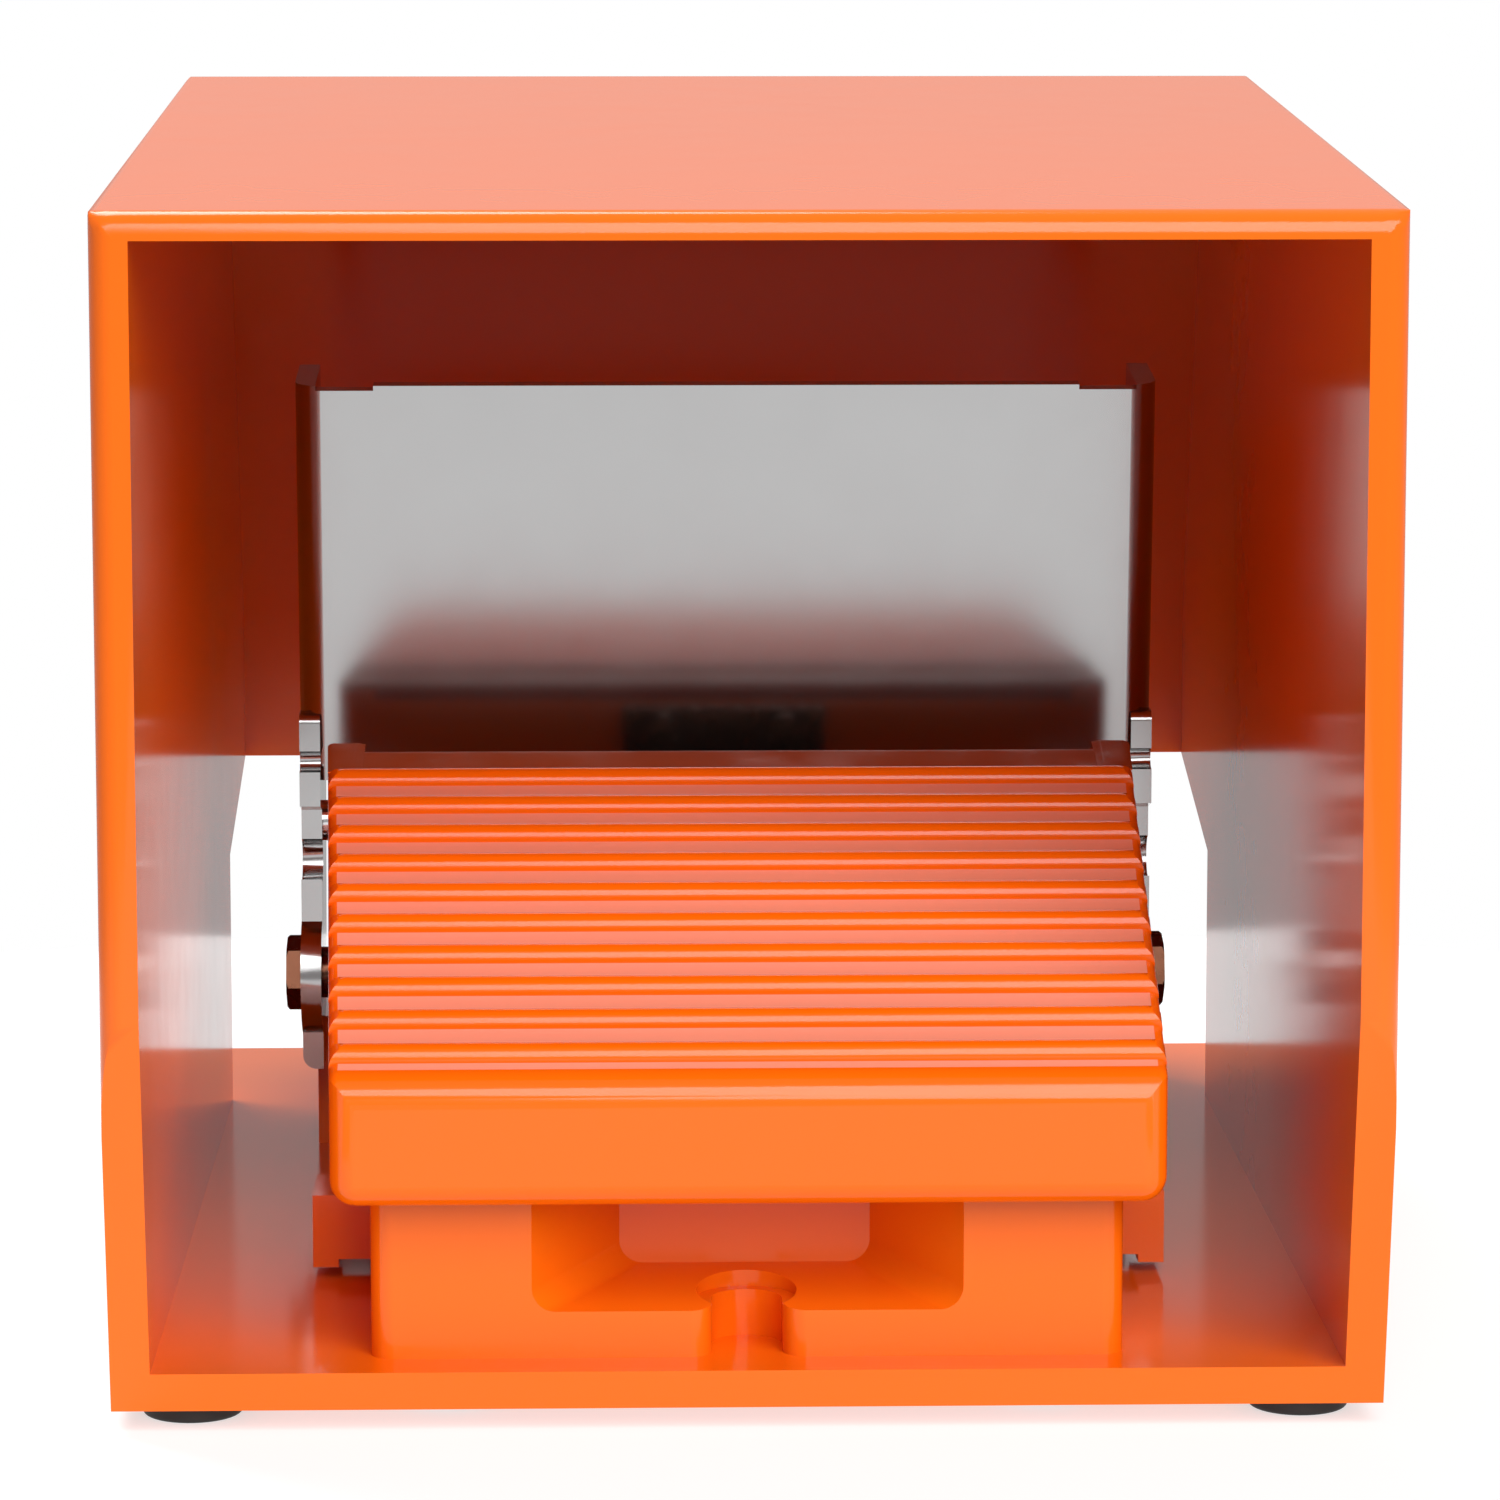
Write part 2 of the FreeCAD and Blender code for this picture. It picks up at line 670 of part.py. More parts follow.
def make_base_housing():
    """Cast block with the front pocket, end-stop lugs, rear wings, chamber and screw bosses."""
    front_half = BASE_FRONT_WIDTH / 2
    rear_half = BASE_REAR_WIDTH / 2
    front_block = box((-front_half, front_half), (BASE_FRONT, BASE_REAR), (0, BASE_HEIGHT))
    upright = edges_where(front_block, lambda p: p.y < BASE_FRONT + 0.1 and abs(p.x) > front_half - 0.1)
    front_block = front_block.makeFillet(BASE_EDGE_RADIUS, upright)
    rear_block = box((-rear_half, rear_half), (BASE_REAR_START, BASE_REAR), (0, BASE_HEIGHT))
    upright = edges_where(rear_block, lambda p: p.y < BASE_REAR_START + 0.1 and abs(p.x) > rear_half - 0.1)
    rear_block = rear_block.makeFillet(BASE_EDGE_RADIUS, upright)
    wings = box((-WING_HALF_WIDTH, WING_HALF_WIDTH), (WING_FRONT, BASE_REAR), (0, WING_HEIGHT))
    shoulders = edges_where(wings, lambda p: p.z > WING_HEIGHT - 0.1 and abs(p.x) > WING_HALF_WIDTH - 0.1)
    wings = wings.makeFillet(WING_RADIUS, shoulders)
    step = LUG_HALF_WIDTH - LUG_STEP_WIDTH
    lug_range = (LUG_FRONT, LUG_FRONT + LUG_LENGTH)
    lugs = box((-LUG_HALF_WIDTH, LUG_HALF_WIDTH), lug_range, (LUG_BOTTOM, LUG_TOP))
    lugs = lugs.cut(box((-step, step), lug_range, (LUG_BOTTOM, LUG_INNER_BOTTOM)))
    body = fused(front_block, rear_block, wings, lugs)
    top = edges_where(body, lambda p: p.z > BASE_HEIGHT - 0.1)
    body = body.makeFillet(BASE_TOP_RADIUS, top)
    chamber_half = CHAMBER_WIDTH / 2
    chamber = box((-chamber_half, chamber_half), (CHAMBER_START, CHAMBER_END), (-1, CHAMBER_TOP))
    rebate_half = chamber_half + COVER_MARGIN
    rebate_depths = (CHAMBER_START - COVER_MARGIN, CHAMBER_END + COVER_MARGIN)
    rebate = box((-rebate_half, rebate_half), rebate_depths, (-1, COVER_REBATE))
    body = body.cut([chamber, rebate, pocket_and_slot()])
    bosses = []
    for point in cover_places():
        low = point + Z_AXIS * COVER_REBATE
        high = point + Z_AXIS * (COVER_REBATE + COVER_BOSS_HEIGHT)
        web = COVER_BOSS_INSET + 1
        outward = 1 if point.x > 0 else -1
        rib_x = sorted((point.x, point.x + outward * web))
        rib_y = (point.y - COVER_BOSS_RADIUS, point.y + COVER_BOSS_RADIUS)
        bosses.append(cylinder(COVER_BOSS_RADIUS, low, high))
        bosses.append(box(rib_x, rib_y, (low.z, high.z)))
    earth_top = Vector(0, EARTH_Y, CHAMBER_TOP + 1)
    bosses.append(cylinder(EARTH_BOSS_RADIUS, earth_top - Z_AXIS * (EARTH_BOSS_LENGTH + 1), earth_top))
    pegs = [Vector(side * SPRING_X, SPRING_Y, BASE_HEIGHT) for side in SIDES]
    for point in pegs:
        bosses.append(cylinder(SPRING_PEG_RADIUS, point - Z_AXIS, point + Z_AXIS * SPRING_PEG_HEIGHT))
    body = fused(body, *bosses)
    return body.cut(housing_holes()).removeSplitter()


def housing_holes():
    """Every round hole of the base housing."""
    holes = []
    front_half = BASE_FRONT_WIDTH / 2
    bush_outer = HINGE_PIN_RADIUS + HINGE_RUNNING_CLEARANCE + HINGE_BUSH_WALL
    hinge = Vector(0, HINGE_Y, HINGE_Z)
    reach = X_AXIS * front_half
    holes.append(cylinder(HINGE_PIN_RADIUS + HINGE_BORE_CLEARANCE, hinge - reach, hinge + reach))
    for side in SIDES:
        outside = hinge + X_AXIS * side * (front_half + 1)
        bottom = hinge + X_AXIS * side * (front_half - HINGE_BUSH_LENGTH)
        holes.append(cylinder(bush_outer + SEAT_GAP, bottom, outside))
        pivot = Vector(0, FLAP_PIVOT_Y, FLAP_PIVOT_Z)
        rear_half = BASE_REAR_WIDTH / 2
        start = pivot + X_AXIS * side * (rear_half - PIVOT_SCREW_DEPTH - 1)
        holes.append(cylinder(PIVOT_SCREW_RADIUS + SEAT_GAP, start, pivot + X_AXIS * side * (rear_half + 1)))
        entry = Vector(side * ENTRY_X, CHAMBER_END - 1, ENTRY_Z)
        holes.append(cylinder(ENTRY_RADIUS, entry, entry + Y_AXIS * (CHAMBER_END_WALL + 2)))
        guide = Vector(side * BLOCK_X, BLOCK_Y, CHAMBER_TOP - 1)
        holes.append(cylinder(GUIDE_RADIUS + SEAT_GAP, guide, guide + Z_AXIS * (CHAMBER_ROOF + 2)))
    for point in cover_places():
        low = point + Z_AXIS * COVER_RECESS
        holes.append(cylinder(COVER_SCREW_RADIUS + SEAT_GAP, low, low + Z_AXIS * COVER_SCREW_LENGTH))
    for point in fixing_places():
        top = point + Z_AXIS * (FIXING_SCREW_REACH + HOLE_END_GAP)
        holes.append(cylinder(FIXING_SCREW_RADIUS + SEAT_GAP, point - Z_AXIS, top))
    earth = Vector(0, EARTH_Y, CHAMBER_TOP - EARTH_BOSS_LENGTH - 1)
    holes.append(cylinder(EARTH_SCREW_RADIUS + SEAT_GAP, earth, earth + Z_AXIS * EARTH_BOSS_LENGTH))
    return holes


def cover_blank(low, high):
    """Plate that fits the rebate under the chamber, between two heights."""
    margin = COVER_MARGIN - COVER_SIDE_CLEARANCE
    half = CHAMBER_WIDTH / 2 + margin
    return box((-half, half), (CHAMBER_START - margin, CHAMBER_END + margin), (low, high))


def make_cover_plate():
    """Steel plate under the chamber, with countersunk holes for its screws and the blocks' screws."""
    plate = cover_blank(COVER_RECESS, COVER_TOP)
    holes = []
    for point in cover_places():
        bottom = point + Z_AXIS * COVER_RECESS
        holes.append(cylinder(COVER_SCREW_RADIUS + SEAT_GAP, bottom - Z_AXIS, bottom + Z_AXIS * OVERSHOOT))
        holes.append(countersink(bottom, COVER_SCREW_HEAD_RADIUS + SEAT_GAP))
    for point in block_screw_places():
        holes.append(cylinder(BLOCK_SCREW_RADIUS + SEAT_GAP, point - Z_AXIS, point + Z_AXIS * OVERSHOOT))
        holes.append(countersink(point, BLOCK_SCREW_HEAD_RADIUS + SEAT_GAP))
    return plate.cut(holes)


def make_gasket():
    """Flat gasket round the chamber's rim, with an eye at each screw."""
    sheet = cover_blank(COVER_TOP, COVER_REBATE)
    half = CHAMBER_WIDTH / 2
    window = box((-half, half), (CHAMBER_START, CHAMBER_END), (0, BASE_HEIGHT))
    eyes = []
    holes = []
    for point in cover_places():
        eyes.append(cylinder(COVER_BOSS_RADIUS, point, point + Z_AXIS * BASE_HEIGHT))
        holes.append(cylinder(COVER_SCREW_RADIUS + SEAT_GAP, point, point + Z_AXIS * BASE_HEIGHT))
    return sheet.cut(window.cut(eyes)).cut(holes)


def countersunk_screw(point, radius, head_radius, length):
    """Countersunk screw with its head flush at a point and its shank upwards."""
    head = cone(head_radius, radius, point, point + Z_AXIS * (head_radius - radius))
    shank = cylinder(radius, point, point + Z_AXIS * length)
    return fused(head, shank)


def make_cover_screws():
    """Countersunk screws of the cover plate."""
    low = Z_AXIS * COVER_RECESS
    length = COVER_SCREW_LENGTH - HOLE_END_GAP
    return Part.makeCompound(
        [
            countersunk_screw(point + low, COVER_SCREW_RADIUS, COVER_SCREW_HEAD_RADIUS, length)
            for point in cover_places()
        ]
    )


def make_fixing_screws():
    """Countersunk screws from under the floor plate into the housing."""
    bottom = Z_AXIS * -HOOD_FLOOR
    length = HOOD_FLOOR + FIXING_SCREW_REACH
    return Part.makeCompound(
        [
            countersunk_screw(point + bottom, FIXING_SCREW_RADIUS, FIXING_SCREW_HEAD_RADIUS, length)
            for point in fixing_places()
        ]
    )


def make_blanking_plug():
    """Plug with a coin slot, screwed into the spare cable entry."""
    face = Vector(-ENTRY_X, BASE_REAR, ENTRY_Z)
    seat = face + Y_AXIS * PLUG_SEAL_THICKNESS
    end = seat + Y_AXIS * PLUG_HEAD_LENGTH
    head = cylinder(PLUG_HEAD_RADIUS, seat, end)
    rim = edges_where(head, lambda p: p.y > end.y - 0.1)
    head = head.makeFillet(PLUG_RIM_RADIUS, rim)
    body = cylinder(ENTRY_RADIUS - SEAT_GAP, face - Y_AXIS * CHAMBER_END_WALL, seat)
    half = PLUG_SLOT_WIDTH / 2
    slot = box(
        (face.x - PLUG_HEAD_RADIUS, face.x + PLUG_HEAD_RADIUS),
        (end.y - PLUG_SLOT_DEPTH, end.y + 1),
        (ENTRY_Z - half, ENTRY_Z + half),
    )
    return fused(head, body).cut(slot)


def make_plug_seal():
    """Flat ring under the blanking plug's head."""
    face = Vector(-ENTRY_X, BASE_REAR, ENTRY_Z)
    end = face + Y_AXIS * PLUG_SEAL_THICKNESS
    return tube(PLUG_HEAD_RADIUS - PLUG_SEAL_INSET, ENTRY_RADIUS + RING_CLEARANCE, face, end)


def make_earth_washer():
    """Clamping washer of the earth terminal."""
    seat = Vector(0, EARTH_Y, CHAMBER_TOP - EARTH_BOSS_LENGTH)
    low = seat - Z_AXIS * EARTH_WASHER_THICKNESS
    return tube(EARTH_WASHER_RADIUS, EARTH_SCREW_RADIUS + RING_CLEARANCE, low, seat)


def make_earth_screw():
    """Screw of the earth terminal, head down inside the chamber."""
    seat = Vector(0, EARTH_Y, CHAMBER_TOP - EARTH_BOSS_LENGTH - EARTH_WASHER_THICKNESS)
    head = cylinder(EARTH_SCREW_HEAD_RADIUS, seat - Z_AXIS * EARTH_SCREW_HEAD, seat)
    shank = cylinder(EARTH_SCREW_RADIUS, seat, seat + Z_AXIS * (EARTH_BOSS_LENGTH - HOLE_END_GAP))
    slot = box(
        (-EARTH_SCREW_HEAD_RADIUS, EARTH_SCREW_HEAD_RADIUS),
        (EARTH_Y - EARTH_SLOT_WIDTH / 2, EARTH_Y + EARTH_SLOT_WIDTH / 2),
        (seat.z - EARTH_SCREW_HEAD - 1, seat.z - EARTH_SCREW_HEAD + EARTH_SLOT_DEPTH),
    )
    return fused(head, shank).cut(slot)


def pedal_plan(inset, low, high):
    """Tapered prism of the pedal's plan view, moved inwards by an inset."""
    front = PEDAL_FRONT + inset
    rear = PEDAL_REAR - inset
    front_half = pedal_half_width(front) - inset
    rear_half = pedal_half_width(rear) - inset
    corners = [
        Vector(-front_half, front, low),
        Vector(front_half, front, low),
        Vector(rear_half, rear, low),
        Vector(-rear_half, rear, low),
    ]
    return polygon_face(corners).extrude(Z_AXIS * (high - low))


def pedal_shell_outside(lift, side_radius):
    """Outside of the pedal with its top face raised by a lift and its upper side edges rounded."""
    half = PEDAL_REAR_WIDTH
    outline = [
        (PEDAL_FRONT, PEDAL_FRONT_BOTTOM),
        (PEDAL_FRONT, PEDAL_FRONT_TOP + lift),
        (PEDAL_REAR, pedal_top(PEDAL_REAR) + lift),
        (PEDAL_REAR, PEDAL_REAR_BOTTOM),
    ]
    solid = side_profile(outline, half).common(pedal_plan(0, 0, HOOD_FRONT_HEIGHT))
    front = edges_where(solid, lambda p: p.y < PEDAL_FRONT + 0.1 and p.z > PEDAL_FRONT_TOP + lift - 0.1)
    solid = solid.makeFillet(PEDAL_FRONT_RADIUS, front)
    rear = edges_where(
        solid, lambda p: p.y > PEDAL_REAR - 0.1 and p.z > pedal_top(PEDAL_REAR) + lift - 0.1
    )
    solid = solid.makeFillet(PEDAL_REAR_RADIUS, rear)
    upright_or_top = edges_where(
        solid,
        lambda p: abs(p.x) > pedal_half_width(p.y) - 0.05 and p.z > PEDAL_FRONT_BOTTOM + 1 + skirt_rise(p.y),
    )
    return solid.makeFillet(side_radius, upright_or_top)


def skirt_rise(depth):
    """How much higher the skirt's lower edge is than at the front."""
    share = (depth - PEDAL_FRONT) / (PEDAL_REAR - PEDAL_FRONT)
    return share * (PEDAL_REAR_BOTTOM - PEDAL_FRONT_BOTTOM)


def pedal_ribs():
    """Rounded ribs across the pedal, with their ends rounded over the sides."""
    slope = math.radians(PEDAL_SLOPE_ANGLE)
    ribs = []
    for number in range(RIB_COUNT):
        depth = RIB_FIRST + number * RIB_PITCH
        centre = Vector(-PEDAL_REAR_WIDTH, depth, pedal_top(depth))
        ribs.append(cylinder(RIB_RADIUS, centre, centre + X_AXIS * 2 * PEDAL_REAR_WIDTH))
    raised = pedal_shell_outside(RIB_RADIUS / math.cos(slope), RIB_END_RADIUS)
    return fused(*ribs).common(raised)


def ear_outline(side):
    """Closed outline, in the front view, of the raised rear corner on one side."""
    outer = side * pedal_half_width(PEDAL_REAR)
    top = pedal_top(PEDAL_REAR) + EAR_HEIGHT
    low = top - EAR_HEIGHT - EAR_FLANK_RADIUS
    inner = outer - side * EAR_WIDTH
    foot = inner - side * EAR_FLANK_RADIUS
    toe_z = top - EAR_FLANK_RADIUS
    sink = EAR_FLANK_RADIUS * (1 - math.sqrt(0.5))
    depth = PEDAL_REAR - EAR_LENGTH
    start = Vector(inner, depth, top)
    middle = Vector(inner - side * sink, depth, toe_z + sink)
    end = Vector(foot, depth, toe_z)
    edges = [
        Part.makeLine(Vector(outer, depth, low), Vector(outer, depth, top)),
        Part.makeLine(Vector(outer, depth, top), start),
        Part.Arc(start, middle, end).toShape(),
        Part.makeLine(end, Vector(foot, depth, low)),
        Part.makeLine(Vector(foot, depth, low), Vector(outer, depth, low)),
    ]
    return Part.Wire(edges)


def pedal_ears():
    """Raised corners at the pedal's rear that guide the shoe."""
    ears = []
    for side in SIDES:
        ears.append(Part.Face(ear_outline(side)).extrude(Y_AXIS * EAR_LENGTH))
    raised = pedal_shell_outside(EAR_HEIGHT, RIB_END_RADIUS / 2)
    return fused(*ears).common(raised)


def make_pedal():
    """Cast pedal: sloping ribbed tread, skirt, inner bosses and hinge holes."""
    solid = fused(pedal_shell_outside(0, PEDAL_SIDE_RADIUS), pedal_ribs(), pedal_ears())
    roof = PEDAL_ROOF / math.cos(math.radians(PEDAL_SLOPE_ANGLE))
    hollow = side_profile(
        [
            (PEDAL_FRONT + PEDAL_WALL, 0),
            (PEDAL_FRONT + PEDAL_WALL, pedal_top(PEDAL_FRONT + PEDAL_WALL) - roof),
            (PEDAL_REAR - PEDAL_WALL, pedal_top(PEDAL_REAR - PEDAL_WALL) - roof),
            (PEDAL_REAR - PEDAL_WALL, 0),
        ],
        PEDAL_REAR_WIDTH,
    ).common(pedal_plan(PEDAL_WALL, 0, HOOD_FRONT_HEIGHT))
    base_half = BASE_REAR_WIDTH / 2 + REAR_GATE_CLEARANCE
    gate_depths = (PEDAL_REAR - OVERSHOOT, PEDAL_REAR + 1)
    rear_gate = box((-base_half, base_half), gate_depths, (0, PEDAL_REAR_WALL_BOTTOM))
    solid = solid.cut([hollow, rear_gate])
    extras = stop_tabs()
    for side in SIDES:
        seat = Vector(side * SPRING_X, SPRING_Y, SPRING_SEAT_Z)
        extras.append(boss_under_roof(seat, SPRING_SEAT_RADIUS))
        adjuster = Vector(side * BLOCK_X, BLOCK_Y, ADJUSTER_BOSS_Z)
        extras.append(boss_under_roof(adjuster, ADJUSTER_BOSS_RADIUS))
    solid = fused(solid, *extras)
    hinge = Vector(0, HINGE_Y, HINGE_Z)
    reach = X_AXIS * PEDAL_REAR_WIDTH
    holes = [cylinder(HINGE_PIN_RADIUS + SEAT_GAP, hinge - reach, hinge + reach)]
    for side in SIDES:
        adjuster = Vector(side * BLOCK_X, BLOCK_Y, ADJUSTER_BOSS_Z)
        holes.append(
            cylinder(PLUNGER_RADIUS + SEAT_GAP, adjuster - Z_AXIS, adjuster + Z_AXIS * ADJUSTER_THREAD_DEPTH)
        )
        screw = Vector(side * CATCH_SCREW_X, PEDAL_REAR - PEDAL_WALL - 1, CATCH_SCREW_Z)
        holes.append(cylinder(CATCH_SCREW_RADIUS + SEAT_GAP, screw, screw + Y_AXIS * (PEDAL_WALL + 2)))
    return solid.cut(holes).removeSplitter()


def boss_under_roof(point, radius):
    """Round boss that hangs from the pedal's roof down to a point."""
    slope = math.tan(math.radians(PEDAL_SLOPE_ANGLE))
    high = pedal_top(point.y) - PEDAL_ROOF / 2
    boss = cylinder(radius, point, Vector(point.x, point.y, high + radius * slope + 1))
    below_top = side_profile(
        [
            (PEDAL_FRONT, 0),
            (PEDAL_FRONT, PEDAL_FRONT_TOP - PEDAL_ROOF / 2),
            (PEDAL_REAR, pedal_top(PEDAL_REAR) - PEDAL_ROOF / 2),
            (PEDAL_REAR, 0),
        ],
        PEDAL_REAR_WIDTH,
    )
    return boss.common(below_top)


def stop_tabs():
    """Tabs of the skirt that meet the housing's lugs at the end of the travel."""
    slope = math.tan(math.radians(PEDAL_TRAVEL_ANGLE))
    front = LUG_FRONT + STOP_TAB_INSET
    rear = LUG_FRONT + LUG_LENGTH - STOP_TAB_INSET
    low_rear = LUG_TOP + STOP_TAB_CLEARANCE + (LUG_FRONT + LUG_LENGTH - HINGE_Y) * slope
    rise = LUG_LENGTH * slope
    tabs = []
    for side in SIDES:
        inner = side * (pedal_half_width(LUG_FRONT) - PEDAL_WALL)
        outline = [
            (front, low_rear - rise),
            (rear, low_rear),
            (rear, PEDAL_REAR_BOTTOM),
            (front, PEDAL_REAR_BOTTOM),
        ]
        face = polygon_face([Vector(inner, y, z) for y, z in outline])
        tabs.append(face.extrude(X_AXIS * side * (PEDAL_WALL - STOP_TAB_STEP)))
    return tabs


def make_hinge_pin():
    """Steel pin through the housing and both skirts, flush with the skirts."""
    half = pedal_half_width(HINGE_Y) - HINGE_PIN_INSET
    hinge = Vector(0, HINGE_Y, HINGE_Z)
    pin = cylinder(HINGE_PIN_RADIUS, hinge - X_AXIS * half, hinge + X_AXIS * half)
    return pin.makeChamfer(HINGE_PIN_CHAMFER, [edge for edge in pin.Edges if edge.Closed])


def make_hinge_bushes():
    """Flanged plain bearings of the pedal's pin."""
    inner = HINGE_PIN_RADIUS + HINGE_RUNNING_CLEARANCE
    face = Vector(BASE_FRONT_WIDTH / 2, HINGE_Y, HINGE_Z)
    sleeve = tube(inner + HINGE_BUSH_WALL, inner, face - X_AXIS * (HINGE_BUSH_LENGTH - HOLE_END_GAP), face)
    flange = tube(HINGE_FLANGE_RADIUS, inner, face, face + X_AXIS * HINGE_FLANGE_THICKNESS)
    return mirrored_pair(fused(sleeve, flange))


def make_return_springs():
    """Compression springs between the housing and the pedal's seats."""
    length = SPRING_SEAT_Z - BASE_HEIGHT - 2 * SPRING_END_GAP
    spring = coil(SPRING_RADIUS, SPRING_WIRE_RADIUS, SPRING_TURNS, length)
    spring.translate(Vector(SPRING_X, SPRING_Y, BASE_HEIGHT + SPRING_END_GAP))
    return mirrored_pair(spring)


def adjuster_tip():
    """Height of the adjusting screws' lower ends."""
    return PLUNGER_TOP + ADJUSTER_GAP


def make_adjusting_screws():
    """Screws in the pedal that press the plungers."""
    low = Vector(BLOCK_X, BLOCK_Y, adjuster_tip())
    high = Vector(BLOCK_X, BLOCK_Y, ADJUSTER_BOSS_Z + ADJUSTER_THREAD_DEPTH - ADJUSTER_END_GAP)
    return mirrored_pair(cylinder(PLUNGER_RADIUS, low, high))


def make_lock_nuts():
    """Nuts that lock the adjusting screws against their bosses."""
    high = Vector(BLOCK_X, BLOCK_Y, ADJUSTER_BOSS_Z)
    low = high - Z_AXIS * LOCK_NUT_HEIGHT
    nut = hexagon(LOCK_NUT_FLATS, low, high)
    hole = cylinder(PLUNGER_RADIUS + SEAT_GAP, low - Z_AXIS, high + Z_AXIS)
    return mirrored_pair(nut.cut(hole))


def make_plunger(side):
    """Plunger with a domed top and a slot for its contact bridge."""
    low = Vector(side * BLOCK_X, BLOCK_Y, PLUNGER_BOTTOM)
    high = Vector(side * BLOCK_X, BLOCK_Y, PLUNGER_TOP)
    stem = cylinder(PLUNGER_RADIUS, low, high)
    dome = Part.makeSphere(PLUNGER_DOME_RADIUS, high - Z_AXIS * PLUNGER_DOME_RADIUS)
    keep = cylinder(PLUNGER_RADIUS, low, high - Z_AXIS * PLUNGER_DOME_RADIUS)
    stem = fused(keep, stem.common(dome))
    slot = bridge_blank(side, SEAT_GAP)
    return stem.cut(slot)


def bridge_blank(side, grow):
    """Contact strip of one block, grown all round."""
    centre = side * BLOCK_X
    half_length = BRIDGE_LENGTH / 2 + grow
    half_width = BRIDGE_WIDTH / 2 + grow
    half_thick = BRIDGE_THICKNESS / 2 + grow
    return box(
        (centre - half_width, centre + half_width),
        (BLOCK_Y - half_length, BLOCK_Y + half_length),
        (BRIDGE_Z - half_thick, BRIDGE_Z + half_thick),
    )


def make_bridge(side):
    """Moving contact strip with a wider pad at each end."""
    strip = bridge_blank(side, 0)
    pads = []
    centre = side * BLOCK_X
    low = BRIDGE_Z - BRIDGE_THICKNESS / 2
    for end in SIDES:
        middle = BLOCK_Y + end * (BRIDGE_LENGTH / 2 - BRIDGE_PAD_RADIUS)
        pad_low = Vector(centre, middle, low - BRIDGE_PAD_HEIGHT)
        pads.append(cylinder(BRIDGE_PAD_RADIUS, pad_low, Vector(centre, middle, low + BRIDGE_THICKNESS)))
    return fused(strip, *pads)


def make_plunger_guides():
    """Flanged brass guides in the housing's roof."""
    seat = Vector(BLOCK_X, BLOCK_Y, BASE_HEIGHT)
    inner = PLUNGER_RADIUS + PLUNGER_CLEARANCE
    sleeve = tube(GUIDE_RADIUS, inner, seat - Z_AXIS * CHAMBER_ROOF, seat)
    flange = tube(GUIDE_FLANGE_RADIUS, inner, seat, seat + Z_AXIS * GUIDE_FLANGE_THICKNESS)
    return mirrored_pair(fused(sleeve, flange))


def make_plunger_seals():
    """Lip seals on top of the guides."""
    seat = Vector(BLOCK_X, BLOCK_Y, BASE_HEIGHT + GUIDE_FLANGE_THICKNESS)
    inner = PLUNGER_RADIUS + PLUNGER_CLEARANCE
    ring = tube(SEAL_RADIUS, inner, seat, seat + Z_AXIS * SEAL_HEIGHT)
    top = seat + Z_AXIS * SEAL_HEIGHT
    rim = edges_where(ring, lambda p: abs(p.distanceToPoint(top) - SEAL_RADIUS) < 0.1 and p.z > top.z - 0.1)
    return mirrored_pair(ring.makeFillet(SEAL_HEIGHT / 2, rim))


def block_screw_places():
    """Points on the cover plate's underside where the blocks' screws sit."""
    places = []
    for side in SIDES:
        for end in SIDES:
            places.append(Vector(side * BLOCK_X, BLOCK_Y + end * BLOCK_SCREW_Y, COVER_RECESS))
    return places


def make_contact_block(side):
    """Insulating body of one contact block, hollow for its bridge and plunger."""
    centre = side * BLOCK_X
    half = BLOCK_WIDTH / 2
    half_length = BLOCK_LENGTH / 2
    low = COVER_TOP
    high = low + BLOCK_HEIGHT
    body = box((centre - half, centre + half), (BLOCK_Y - half_length, BLOCK_Y + half_length), (low, high))
    body = body.makeFillet(BLOCK_EDGE_RADIUS, edges_where(body, lambda p: p.z > high - 0.1))
    half_cavity = BLOCK_CAVITY_WIDTH / 2
    half_run = BLOCK_CAVITY_LENGTH / 2
    floor = low + BLOCK_CAVITY_FLOOR
    cavity = box(
        (centre - half_cavity, centre + half_cavity),
        (BLOCK_Y - half_run, BLOCK_Y + half_run),
        (floor, floor + BLOCK_CAVITY_HEIGHT),
    )
    axis = Vector(centre, BLOCK_Y, floor + 1)
    cuts = [cavity, cylinder(PLUNGER_RADIUS + BLOCK_BORE_CLEARANCE, axis, axis + Z_AXIS * BLOCK_HEIGHT)]
    for end in SIDES:
        cuts.append(contact_strip(side, end, SEAT_GAP))
        screw = Vector(centre, BLOCK_Y + end * BLOCK_SCREW_Y, low - 1)
        cuts.append(cylinder(BLOCK_SCREW_RADIUS + SEAT_GAP, screw, screw + Z_AXIS * BLOCK_SCREW_REACH))
    return body.cut(cuts)


def contact_strip(side, end, grow):
    """Strip that runs from the block's cavity out to its terminal."""
    centre = side * BLOCK_X
    half = CONTACT_WIDTH / 2 + grow
    near = BLOCK_Y + end * CONTACT_INNER
    far = BLOCK_Y + end * CONTACT_REACH
    low = COVER_TOP + CONTACT_Z - grow
    high = COVER_TOP + CONTACT_Z + CONTACT_THICKNESS + grow
    return box((centre - half, centre + half), sorted((near, far)), (low, high))


def make_fixed_contacts():
    """Fixed contact strips of both blocks, each with a hole for its terminal screw."""
    strips = []
    for side in SIDES:
        for end in SIDES:
            strip = contact_strip(side, end, 0)
            point = Vector(side * BLOCK_X, BLOCK_Y + end * TERMINAL_Y, 0)
            hole = cylinder(TERMINAL_SCREW_RADIUS + SEAT_GAP, point, point + Z_AXIS * BASE_HEIGHT)
            strips.append(strip.cut(hole))
    return Part.makeCompound(strips)


